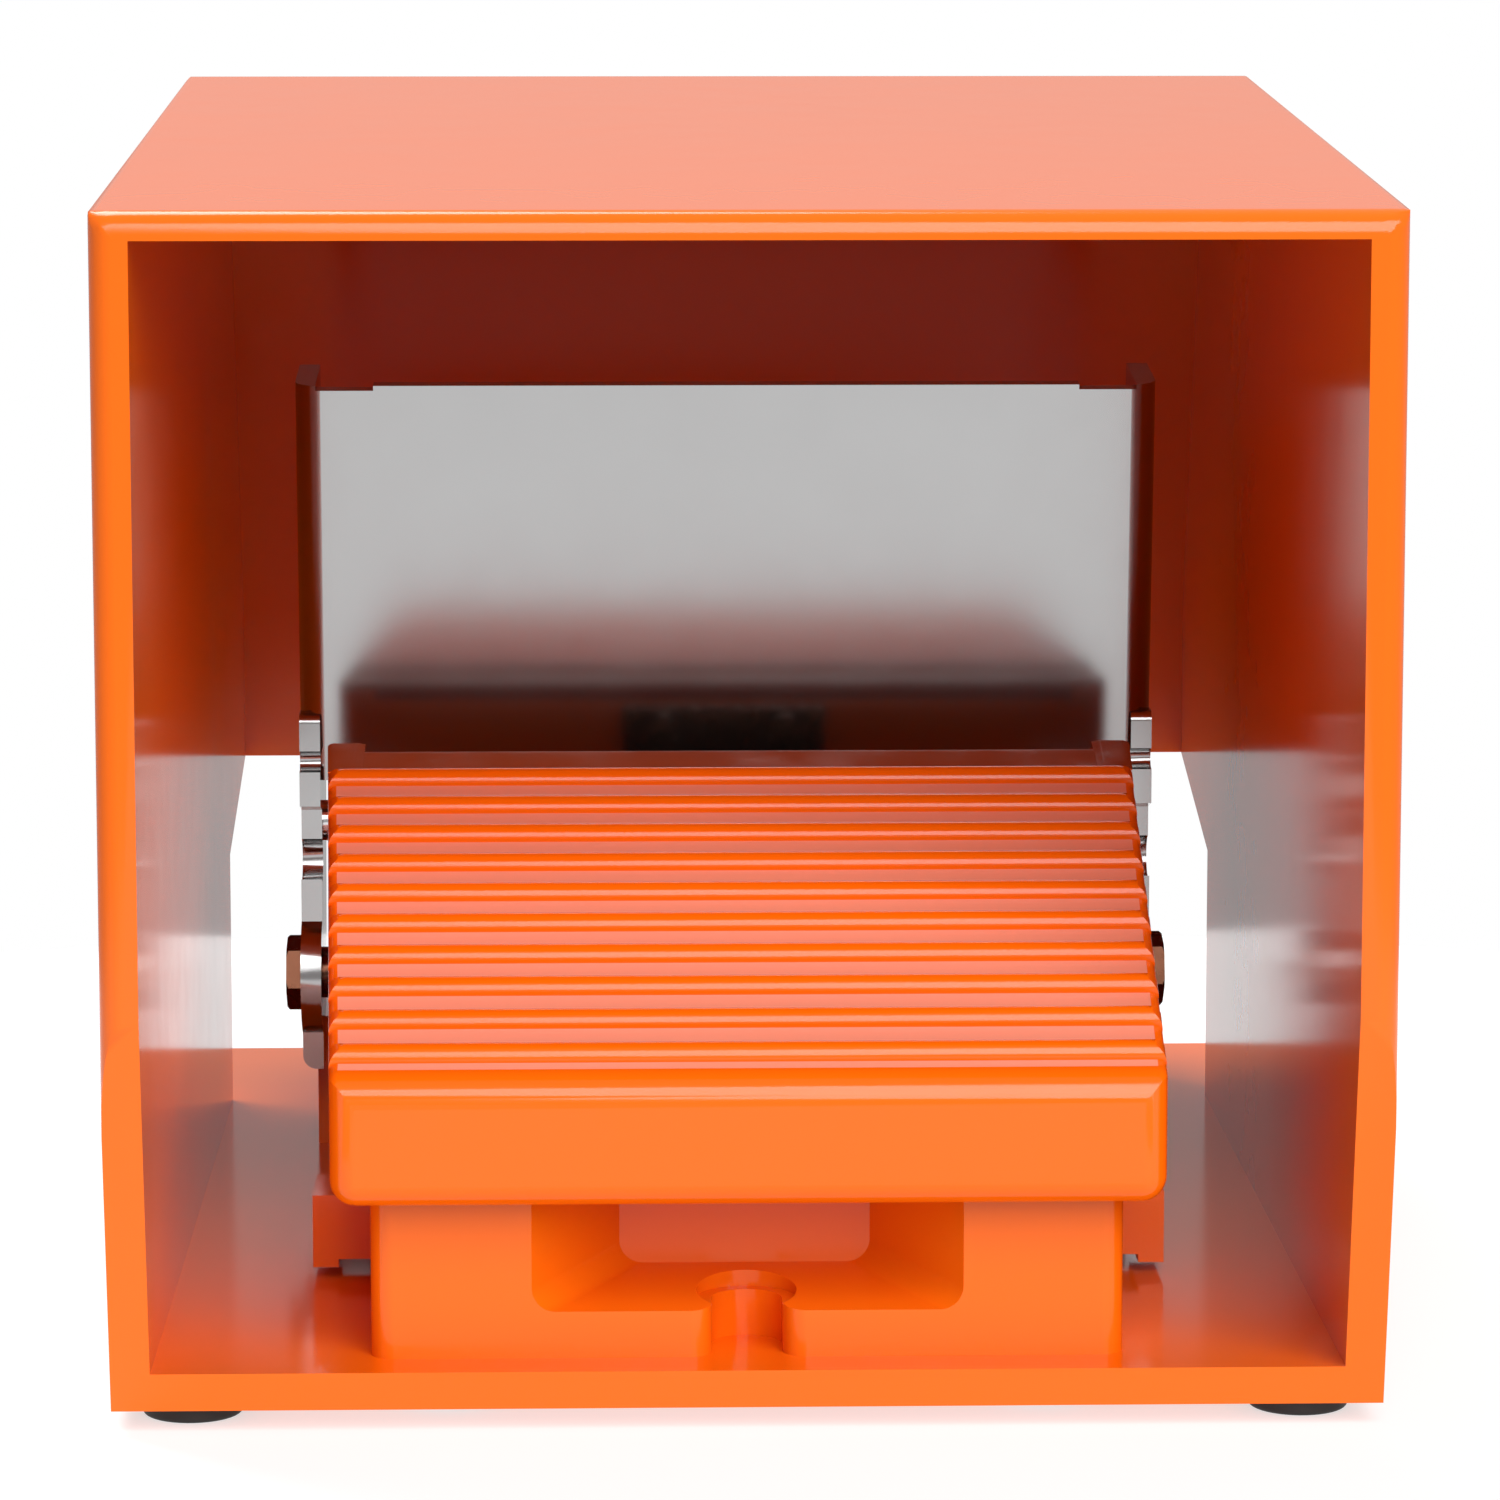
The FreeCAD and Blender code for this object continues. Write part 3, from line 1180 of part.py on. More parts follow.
def make_terminal_screws():
    """Cheese-head screws of the terminals."""
    screws = []
    top = COVER_TOP + CONTACT_Z + CONTACT_THICKNESS
    for side in SIDES:
        for end in SIDES:
            seat = Vector(side * BLOCK_X, BLOCK_Y + end * TERMINAL_Y, top)
            head = cylinder(TERMINAL_HEAD_RADIUS, seat, seat + Z_AXIS * TERMINAL_HEAD_HEIGHT)
            shank = cylinder(TERMINAL_SCREW_RADIUS, seat - Z_AXIS * TERMINAL_SCREW_REACH, seat)
            screws.append(fused(head, shank))
    return Part.makeCompound(screws)


def make_block_screws():
    """Countersunk screws that hold the contact blocks to the cover plate."""
    length = BLOCK_SCREW_REACH
    return Part.makeCompound(
        [
            countersunk_screw(point, BLOCK_SCREW_RADIUS, BLOCK_SCREW_HEAD_RADIUS, length)
            for point in block_screw_places()
        ]
    )


def make_contact_springs():
    """Springs under the plungers inside the blocks."""
    low = COVER_TOP + BLOCK_CAVITY_FLOOR + SPRING_END_GAP
    length = PLUNGER_BOTTOM - SPRING_END_GAP - low
    spring = coil(CONTACT_SPRING_RADIUS, CONTACT_SPRING_WIRE, CONTACT_SPRING_TURNS, length)
    spring.translate(Vector(BLOCK_X, BLOCK_Y, low))
    return mirrored_pair(spring)


def flap_channel():
    """Face plate of the flap with both side flanges, leaning forwards at the top."""
    half = FLAP_HALF_WIDTH
    thick = FLAP_THICKNESS
    lean = math.radians(FLAP_LEAN_ANGLE)
    low = (FLAP_FACE_BOTTOM - FLAP_FACE_Z) / math.cos(lean)
    high = (FLAP_TOP - FLAP_FACE_Z) / math.cos(lean)
    outer = box((-half, half), (0, FLAP_FLANGE_DEPTH), (low, high))
    corners = edges_where(outer, lambda p: abs(p.x) > half - 0.1 and p.y < 0.1)
    outer = outer.makeFillet(FLAP_BEND_RADIUS, corners)
    inner = box((-half + thick, half - thick), (thick, FLAP_FLANGE_DEPTH + 1), (low - 1, high + 1))
    inner_corners = edges_where(inner, lambda p: abs(p.x) > half - thick - 0.1 and p.y < thick + 0.1)
    inner = inner.makeFillet(FLAP_BEND_RADIUS - thick, inner_corners)
    channel = outer.cut(inner)
    for side in SIDES:
        edge = side * (half - thick)
        x_range = sorted((edge, edge - side * (FLAP_CORNER_WIDTH - thick)))
        channel = channel.cut(box(x_range, (-1, thick + 1), (high - FLAP_CORNER_NOTCH, high + 1)))
    channel.rotate(Vector(0, 0, 0), X_AXIS, FLAP_LEAN_ANGLE)
    channel.translate(Vector(0, FLAP_FACE_Y, FLAP_FACE_Z))
    return channel


def flap_back_edge(height):
    """Depth of the flanges' rear edge at a height."""
    lean = math.radians(FLAP_LEAN_ANGLE)
    return FLAP_FACE_Y + FLAP_FLANGE_DEPTH / math.cos(lean) - (height - FLAP_FACE_Z) * math.tan(lean)


def flap_arm():
    """Side arm of the flap with its stepped front edge, pivot lobe and tail."""
    pivot = Vector(FLAP_HALF_WIDTH - FLAP_THICKNESS, FLAP_PIVOT_Y, FLAP_PIVOT_Z)
    x = pivot.x

    def at(y, z):
        return Vector(x, y, z)

    def on_lobe(angle):
        turn = math.radians(angle)
        return at(pivot.y + FLAP_LOBE_RADIUS * math.sin(turn), pivot.z + FLAP_LOBE_RADIUS * math.cos(turn))

    def lobe_angle(y):
        return math.degrees(math.asin((y - pivot.y) / FLAP_LOBE_RADIUS))

    flange_top = ARM_SHOULDER_TOP + ARM_SHOULDER_RADIUS
    inside_y = FLAP_FACE_Y + FLAP_BEND_RADIUS
    shoulder = at(ARM_SHOULDER_Y + ARM_SHOULDER_RADIUS, ARM_SHOULDER_TOP)
    shoulder_low = at(ARM_SHOULDER_Y, ARM_SHOULDER_TOP - ARM_SHOULDER_RADIUS)
    sink = ARM_SHOULDER_RADIUS * (1 - math.sqrt(0.5))
    shoulder_mid = at(ARM_SHOULDER_Y + sink, ARM_SHOULDER_TOP - sink)
    nick_top = at(ARM_SHOULDER_Y, ARM_NICK_Z + ARM_NICK_RADIUS)
    nick_low = at(ARM_SHOULDER_Y, ARM_NICK_Z - ARM_NICK_RADIUS)
    nick_mid = at(ARM_SHOULDER_Y + ARM_NICK_RADIUS, ARM_NICK_Z)
    nose_top = at(ARM_NOSE_Y, ARM_NICK_Z - ARM_NICK_RADIUS)
    nose_low = at(ARM_NOSE_Y, ARM_NOSE_BOTTOM)
    throat_top = at(ARM_THROAT_Y, ARM_THROAT_TOP)
    throat_low = at(ARM_THROAT_Y, ARM_THROAT_BOTTOM)
    hook = at(ARM_HOOK_Y, ARM_HOOK_Z)
    heel = at(ARM_HEEL_Y, ARM_HEEL_Z)
    heel_lobe = on_lobe(lobe_angle(ARM_HEEL_Y))
    lobe_front = on_lobe(-90)
    tail_front = on_lobe(180 - lobe_angle(ARM_TAIL_FRONT))
    tail_rear = on_lobe(180 - lobe_angle(ARM_TAIL_REAR))
    lobe_rear = on_lobe(90 - FLAP_LEAN_ANGLE)
    lobe_low = on_lobe(135)
    back_low = at(flap_back_edge(ARM_SHOULDER_TOP - FLAP_LOBE_RADIUS), ARM_SHOULDER_TOP - FLAP_LOBE_RADIUS)
    back_top = at(flap_back_edge(flange_top), flange_top)
    inside_top = at(inside_y, flange_top)
    inside_low = at(inside_y, ARM_SHOULDER_TOP)
    edges = [
        Part.makeLine(inside_top, inside_low),
        Part.makeLine(inside_low, shoulder),
        Part.Arc(shoulder, shoulder_mid, shoulder_low).toShape(),
        Part.makeLine(shoulder_low, nick_top),
        Part.Arc(nick_top, nick_mid, nick_low).toShape(),
        Part.makeLine(nick_low, nose_top),
        Part.makeLine(nose_top, nose_low),
        Part.makeLine(nose_low, throat_top),
        Part.makeLine(throat_top, throat_low),
        Part.Arc(throat_low, hook, heel).toShape(),
        Part.makeLine(heel, heel_lobe),
        Part.Arc(heel_lobe, lobe_front, tail_front).toShape(),
        Part.makeLine(tail_front, at(ARM_TAIL_FRONT, ARM_TAIL_BOTTOM)),
        Part.makeLine(at(ARM_TAIL_FRONT, ARM_TAIL_BOTTOM), at(ARM_TAIL_REAR, ARM_TAIL_BOTTOM)),
        Part.makeLine(at(ARM_TAIL_REAR, ARM_TAIL_BOTTOM), tail_rear),
        Part.Arc(tail_rear, lobe_low, lobe_rear).toShape(),
        Part.makeLine(lobe_rear, back_low),
        Part.makeLine(back_low, back_top),
        Part.makeLine(back_top, inside_top),
    ]
    arm = Part.Face(Part.Wire(edges)).extrude(X_AXIS * FLAP_THICKNESS)
    outer_low = edges_where(arm, lambda p: p.z < ARM_TAIL_BOTTOM + 0.1 and p.x > FLAP_HALF_WIDTH - 0.1)
    return arm.makeFillet(ARM_TAIL_RADIUS, outer_low)


def make_flap():
    """Bent steel flap: face, flanges and arms in one piece."""
    arm = flap_arm()
    flap = fused(flap_channel(), arm, arm.mirror(Vector(0, 0, 0), X_AXIS))
    pivot = Vector(0, FLAP_PIVOT_Y, FLAP_PIVOT_Z)
    reach = X_AXIS * (FLAP_HALF_WIDTH + 1)
    hole = cylinder(PIVOT_BUSH_RADIUS + PIVOT_BUSH_CLEARANCE, pivot - reach, pivot + reach)
    return flap.cut(hole)


def bush_end():
    """Distance of the pivot bushes' outer ends from the plane of symmetry."""
    return FLAP_HALF_WIDTH + PIVOT_BUSH_PROUD


def make_pivot_bushes():
    """Bushes on which the flap's arms turn."""
    start = Vector(BASE_REAR_WIDTH / 2, FLAP_PIVOT_Y, FLAP_PIVOT_Z)
    end = Vector(bush_end(), FLAP_PIVOT_Y, FLAP_PIVOT_Z)
    return mirrored_pair(tube(PIVOT_BUSH_RADIUS, PIVOT_SCREW_RADIUS + SEAT_GAP, start, end))


def make_pivot_screws():
    """Hexagon-head screws that clamp the bushes to the housing."""
    seat = Vector(bush_end(), FLAP_PIVOT_Y, FLAP_PIVOT_Z)
    end = Vector(BASE_REAR_WIDTH / 2 - PIVOT_SCREW_DEPTH, FLAP_PIVOT_Y, FLAP_PIVOT_Z)
    head_end = seat + X_AXIS * PIVOT_HEAD_THICKNESS
    head = hexagon(PIVOT_HEAD_FLATS, seat, head_end, PIVOT_HEAD_TURN)
    corner = PIVOT_HEAD_FLATS / math.sqrt(3)
    dressing = cone(corner + PIVOT_HEAD_THICKNESS, corner - PIVOT_HEAD_DRESSING, seat, head_end)
    return mirrored_pair(fused(head.common(dressing), cylinder(PIVOT_SCREW_RADIUS, end, seat)))


def make_torsion_springs():
    """Torsion springs round the bushes, one leg on the wing and one on the arm."""
    width = FLAP_HALF_WIDTH - FLAP_THICKNESS - BASE_REAR_WIDTH / 2 - 2 * TORSION_SIDE_GAP
    radius = PIVOT_BUSH_RADIUS + TORSION_BUSH_GAP + TORSION_WIRE_RADIUS
    spring = coil(radius, TORSION_WIRE_RADIUS, TORSION_TURNS, width)
    low = Vector(radius, 0, TORSION_WIRE_RADIUS)
    high = Vector(radius, 0, width - TORSION_WIRE_RADIUS)
    fixed_leg = cylinder(TORSION_WIRE_RADIUS, low, low - Y_AXIS * TORSION_LEG)
    moving_leg = cylinder(TORSION_WIRE_RADIUS, high, high + Y_AXIS * TORSION_LEG)
    spring = spring.fuse([fixed_leg, moving_leg])
    spring.rotate(Vector(0, 0, 0), Y_AXIS, 90)
    spring.translate(Vector(BASE_REAR_WIDTH / 2 + TORSION_SIDE_GAP, FLAP_PIVOT_Y, FLAP_PIVOT_Z))
    return mirrored_pair(spring)


def make_catch_bar():
    """Round bar between the flap's arms that holds the pedal up until the flap is pushed."""
    half = FLAP_HALF_WIDTH - FLAP_THICKNESS
    centre = Vector(0, CATCH_BAR_Y, CATCH_BAR_Z)
    return cylinder(CATCH_BAR_RADIUS, centre - X_AXIS * half, centre + X_AXIS * half)


def make_catch_plate():
    """Angle plate on the pedal's rear wall that the catch bar works with."""
    half = CATCH_PLATE_WIDTH / 2
    face = PEDAL_REAR
    thick = CATCH_PLATE_THICKNESS
    upright = box((-half, half), (face, face + thick), (CATCH_PLATE_BOTTOM, CATCH_PLATE_TOP))
    foot_heights = (CATCH_PLATE_BOTTOM, CATCH_PLATE_BOTTOM + thick)
    foot = box((-half, half), (face, face + CATCH_PLATE_REACH), foot_heights)
    plate = fused(upright, foot)
    bend = edges_where(plate, lambda p: p.y < face + 0.1 and p.z < CATCH_PLATE_BOTTOM + 0.1)
    plate = plate.makeFillet(CATCH_PLATE_BEND_RADIUS, bend)
    holes = []
    for side in SIDES:
        point = Vector(side * CATCH_SCREW_X, face - 1, CATCH_SCREW_Z)
        holes.append(cylinder(CATCH_SCREW_RADIUS + SEAT_GAP, point, point + Y_AXIS * OVERSHOOT))
    return plate.cut(holes)


def make_catch_screws():
    """Screws that hold the catch plate to the pedal."""
    seat = Vector(CATCH_SCREW_X, PEDAL_REAR + CATCH_PLATE_THICKNESS, CATCH_SCREW_Z)
    head = cylinder(CATCH_SCREW_HEAD_RADIUS, seat, seat + Y_AXIS * CATCH_SCREW_HEAD)
    shank = cylinder(CATCH_SCREW_RADIUS, seat - Y_AXIS * (CATCH_PLATE_THICKNESS + PEDAL_WALL), seat)
    return mirrored_pair(fused(head, shank))


def export_node(name, shape):
    """Move a piece to the part's frame and write it as one STEP file."""
    placed = shape.copy()
    placed.translate(Vector(0, -HOOD_DEPTH / 2, FLOOR_TOP))
    placed.exportStep("parts/" + name + ".step")


def all_nodes():
    """Build every node.

    Returns:
        The shapes by node name.
    """
    nodes = {
        "protective_hood": make_hood(),
        "rubber_feet": make_feet(),
        "feet_screws": make_feet_screws(),
        "base_housing": make_base_housing(),
        "base_cover_plate": make_cover_plate(),
        "base_gasket": make_gasket(),
        "cover_plate_screws": make_cover_screws(),
        "housing_fixing_screws": make_fixing_screws(),
        "blanking_plug": make_blanking_plug(),
        "blanking_plug_seal": make_plug_seal(),
        "earth_washer": make_earth_washer(),
        "earth_screw": make_earth_screw(),
        "pedal": make_pedal(),
        "pedal_hinge_pin": make_hinge_pin(),
        "pedal_hinge_bushes": make_hinge_bushes(),
        "pedal_return_springs": make_return_springs(),
        "adjusting_screws": make_adjusting_screws(),
        "adjusting_lock_nuts": make_lock_nuts(),
        "plunger_guides": make_plunger_guides(),
        "plunger_seals": make_plunger_seals(),
        "contact_springs": make_contact_springs(),
        "fixed_contacts": make_fixed_contacts(),
        "terminal_screws": make_terminal_screws(),
        "contact_block_screws": make_block_screws(),
        "trigger_flap": make_flap(),
        "flap_pivot_screws": make_pivot_screws(),
        "flap_pivot_bushes": make_pivot_bushes(),
        "flap_torsion_springs": make_torsion_springs(),
        "catch_bar": make_catch_bar(),
        "catch_plate": make_catch_plate(),
        "catch_plate_screws": make_catch_screws(),
    }
    for side, word in ((-1, "left"), (1, "right")):
        nodes["contact_block_" + word] = make_contact_block(side)
        nodes["contact_plunger_" + word] = make_plunger(side)
        nodes["contact_bridge_" + word] = make_bridge(side)
    return nodes


def main():
    """Write every node to the parts folder."""
    os.makedirs("parts", exist_ok=True)
    for name, shape in all_nodes().items():
        export_node(name, shape)


if __name__ == "__main__":
    main()
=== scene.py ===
"""Finish of an industrial foot switch: enamelled castings, a plated steel toe flap and their fittings."""

import json
import logging
import math
from collections.abc import Callable
from dataclasses import dataclass
from enum import Enum

import bmesh
import bpy
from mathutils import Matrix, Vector

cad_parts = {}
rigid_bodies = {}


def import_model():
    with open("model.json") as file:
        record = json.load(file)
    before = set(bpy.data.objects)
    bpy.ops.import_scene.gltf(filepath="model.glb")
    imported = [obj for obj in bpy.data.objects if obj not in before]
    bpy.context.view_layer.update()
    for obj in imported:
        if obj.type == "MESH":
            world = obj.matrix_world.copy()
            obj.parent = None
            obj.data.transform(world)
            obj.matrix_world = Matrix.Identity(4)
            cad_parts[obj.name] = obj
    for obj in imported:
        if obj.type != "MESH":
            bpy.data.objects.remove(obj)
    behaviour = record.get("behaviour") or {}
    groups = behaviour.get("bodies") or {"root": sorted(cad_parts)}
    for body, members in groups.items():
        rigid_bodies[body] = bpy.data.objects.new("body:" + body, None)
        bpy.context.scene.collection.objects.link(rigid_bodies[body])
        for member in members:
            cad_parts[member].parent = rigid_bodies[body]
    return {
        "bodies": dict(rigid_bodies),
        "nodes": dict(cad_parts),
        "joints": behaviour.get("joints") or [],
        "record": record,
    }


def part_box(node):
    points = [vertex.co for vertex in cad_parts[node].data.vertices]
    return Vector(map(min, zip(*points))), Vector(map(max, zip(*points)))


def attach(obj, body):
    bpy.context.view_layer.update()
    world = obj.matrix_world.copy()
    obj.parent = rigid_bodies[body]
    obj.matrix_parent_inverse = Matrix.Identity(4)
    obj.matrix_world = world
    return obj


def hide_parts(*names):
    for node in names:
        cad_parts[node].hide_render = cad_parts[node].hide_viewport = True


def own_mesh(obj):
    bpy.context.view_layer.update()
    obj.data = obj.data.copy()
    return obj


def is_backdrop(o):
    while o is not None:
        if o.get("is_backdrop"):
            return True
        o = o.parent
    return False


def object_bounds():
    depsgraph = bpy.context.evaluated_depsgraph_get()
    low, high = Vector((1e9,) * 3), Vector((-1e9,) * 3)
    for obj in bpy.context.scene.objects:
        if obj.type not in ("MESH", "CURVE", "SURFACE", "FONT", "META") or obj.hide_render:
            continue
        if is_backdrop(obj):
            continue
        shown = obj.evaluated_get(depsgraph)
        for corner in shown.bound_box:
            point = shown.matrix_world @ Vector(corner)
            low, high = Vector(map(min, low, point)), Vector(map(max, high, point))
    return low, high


LOG = logging.getLogger("foot_switch")
MM = 0.001
WELD = 0.0005 * MM  # points of a CAD mesh that are nearer than this are one point
SLIVER = 0.0002 * MM  # edges of a CAD mesh that are shorter than this are dropped
CAD_CREASE = math.radians(32)  # faces of a CAD copy that meet at a larger angle keep a sharp edge
MADE_CREASE = math.radians(35)  # the same for meshes that this script makes
LARGE_FACES_LEAD = 100  # weight of the large faces where flat and rounded faces share a corner
NOISE_MIDDLE = (0.3, 0.7)  # nearly all of a noise pattern lies between these values
WHITE = (1.0, 1.0, 1.0)
DOWN = Vector((0.0, 0.0, -1.0))
REARWARD = Vector((0.0, 1.0, 0.0))
Colour = tuple[float, float, float]
NodeInput = bpy.types.NodeSocket | bpy.types.Material | Vector | float | int | bool
Reshape = Callable[[bmesh.types.BMesh], None]


class Body(Enum):
    """The bodies of the frame that the new pieces ride on."""

    BASE = "base"
    PEDAL = "pedal"
    TRIGGER = "trigger"


class Drive(Enum):
    """The recess in a screw's head."""

    CROSS = "cross"
    SOCKET = "socket"


class Wiring:
    """Adds and joins the shader nodes of one material, on Object coordinates."""

    def __init__(self, name: str) -> None:
        """Start a material that holds a Principled shader.

        Args:
            name: the material's name.
        """
        self.material = bpy.data.materials.new(name)
        self.material.use_nodes = True
        self.tree = self.material.node_tree
        self.tree.nodes.clear()
        self.shader = self.tree.nodes.new("ShaderNodeBsdfPrincipled")
        output = self.tree.nodes.new("ShaderNodeOutputMaterial")
        self.tree.links.new(self.shader.outputs["BSDF"], output.inputs["Surface"])
        self.place = self.tree.nodes.new("ShaderNodeTexCoord")

    def fix(self, socket: str, value: float | Colour) -> None:
        """Set one of the shader's own sockets to a constant.

        Args:
            socket: the socket's name.
            value: a number, or a colour without alpha.
        """
        self.shader.inputs[socket].default_value = (*value, 1.0) if isinstance(value, tuple) else value

    def feed(self, socket: str, source: bpy.types.NodeSocket) -> None:
        """Join an output to one of the shader's sockets.

        Args:
            socket: the socket's name.
            source: the output that feeds it.
        """
        self.tree.links.new(source, self.shader.inputs[socket])

    def noise(self, size: float, detail: float = 3.0, stretch: Colour = WHITE) -> bpy.types.NodeSocket:
        """Add a noise pattern.

        Args:
            size: the width of one blot, in metres.
            detail: the number of finer octaves.
            stretch: how many times longer a blot is along each axis.

        Returns:
            The pattern, from 0 to 1.
        """
        mapping = self.tree.nodes.new("ShaderNodeMapping")
        mapping.inputs["Scale"].default_value = tuple(1 / (size * length) for length in stretch)
        self.tree.links.new(self.place.outputs["Object"], mapping.inputs["Vector"])
        noise = self.tree.nodes.new("ShaderNodeTexNoise")
        noise.inputs["Scale"].default_value = 1.0
        noise.inputs["Detail"].default_value = detail
        self.tree.links.new(mapping.outputs["Vector"], noise.inputs["Vector"])
        return noise.outputs["Fac"]

    def span(self, source: bpy.types.NodeSocket, low: float, high: float) -> bpy.types.NodeSocket:
        """Map a pattern's middle range to a range of values.

        Args:
            source: the pattern, from 0 to 1.
            low: the value at the low end of the pattern's middle range.
            high: the value at the high end.

        Returns:
            The mapped value.
        """
        node = self.tree.nodes.new("ShaderNodeMapRange")
        node.inputs["From Min"].default_value = NOISE_MIDDLE[0]
        node.inputs["From Max"].default_value = NOISE_MIDDLE[1]
        node.inputs["To Min"].default_value = low
        node.inputs["To Max"].default_value = high
        self.tree.links.new(source, node.inputs["Value"])
        return node.outputs["Result"]

    def blend(self, source: bpy.types.NodeSocket, first: Colour, second: Colour) -> bpy.types.NodeSocket:
        """Blend two colours by a pattern.

        Args:
            source: the pattern, from 0 to 1.
            first: the colour where it is 0.
            second: the colour where it is 1.

        Returns:
            The blended colour.
        """
        node = self.tree.nodes.new("ShaderNodeMix")
        node.data_type = "RGBA"
        node.inputs["A"].default_value = (*first, 1.0)
        node.inputs["B"].default_value = (*second, 1.0)
        self.tree.links.new(source, node.inputs["Factor"])
        return node.outputs["Result"]

    def relief(self, pattern: bpy.types.NodeSocket, height: float) -> None:
        """Feed the shader's normal with a relief.

        Args:
            pattern: the relief's pattern, from 0 to 1.
            height: its height, in metres.
        """
        bump = self.tree.nodes.new("ShaderNodeBump")
        bump.inputs["Strength"].default_value = 1.0
        bump.inputs["Distance"].default_value = height
        self.tree.links.new(pattern, bump.inputs["Height"])
        self.feed("Normal", bump.outputs["Normal"])


@dataclass(frozen=True)
class Enamel:
    """Glossy stove enamel on a casting, with faint orange peel and uneven depth of colour."""

    name: str
    colour: Colour
    deep_colour: Colour
    gloss: tuple[float, float] = (0.13, 0.17)
    blot: float = 60 * MM
    peel: float = 2.4 * MM
    peel_height: float = 0.0004 * MM
    wear: float = 9.6 * MM
    refraction: float = 1.38

    def material(self) -> bpy.types.Material:
        """Build the material.

        Returns:
            The material.
        """
        wiring = Wiring(self.name)
        depth = wiring.noise(self.blot, detail=2.0)
        wear = wiring.noise(self.wear, detail=4.0)
        wiring.feed("Base Color", wiring.blend(depth, self.colour, self.deep_colour))
        wiring.feed("Roughness", wiring.span(wear, *self.gloss))
        wiring.fix("IOR", self.refraction)
        wiring.relief(wiring.noise(self.peel, detail=1.0), self.peel_height)
        return wiring.material


@dataclass(frozen=True)
class Plating:
    """Zinc-plated or brushed metal with a fine grain and handling marks."""

    name: str
    colour: Colour
    dull_colour: Colour
    gloss: tuple[float, float]
    grain: float = 0.5 * MM
    grain_stretch: Colour = WHITE
    grain_height: float = 0.0005 * MM
    blot: float = 18 * MM
    marks_per_blot: int = 3

    def material(self) -> bpy.types.Material:
        """Build the material.

        Returns:
            The material.
        """
        wiring = Wiring(self.name)
        marks = wiring.noise(self.blot / self.marks_per_blot, detail=5.0)
        grain = wiring.noise(self.grain, detail=2.0, stretch=self.grain_stretch)
        wiring.feed("Base Color", wiring.blend(wiring.noise(self.blot), self.colour, self.dull_colour))
        wiring.feed("Roughness", wiring.span(marks, *self.gloss))
        wiring.fix("Metallic", 1.0)
        wiring.relief(grain, self.grain_height)
        return wiring.material


@dataclass(frozen=True)
class Moulded:
    """Moulded rubber or plastic with a fine skin and dusty patches."""

    name: str
    colour: Colour
    dusty_colour: Colour
    gloss: tuple[float, float]
    skin: float = 0.35 * MM
    skin_height: float = 0.01 * MM
    patch: float = 7 * MM

    def material(self) -> bpy.types.Material:
        """Build the material.

        Returns:
            The material.
        """
        wiring = Wiring(self.name)
        patches = wiring.noise(self.patch, detail=4.0)
        wiring.feed("Base Color", wiring.blend(patches, self.colour, self.dusty_colour))
        wiring.feed("Roughness", wiring.span(patches, *self.gloss))
        wiring.relief(wiring.noise(self.skin, detail=2.0), self.skin_height)
        return wiring.material


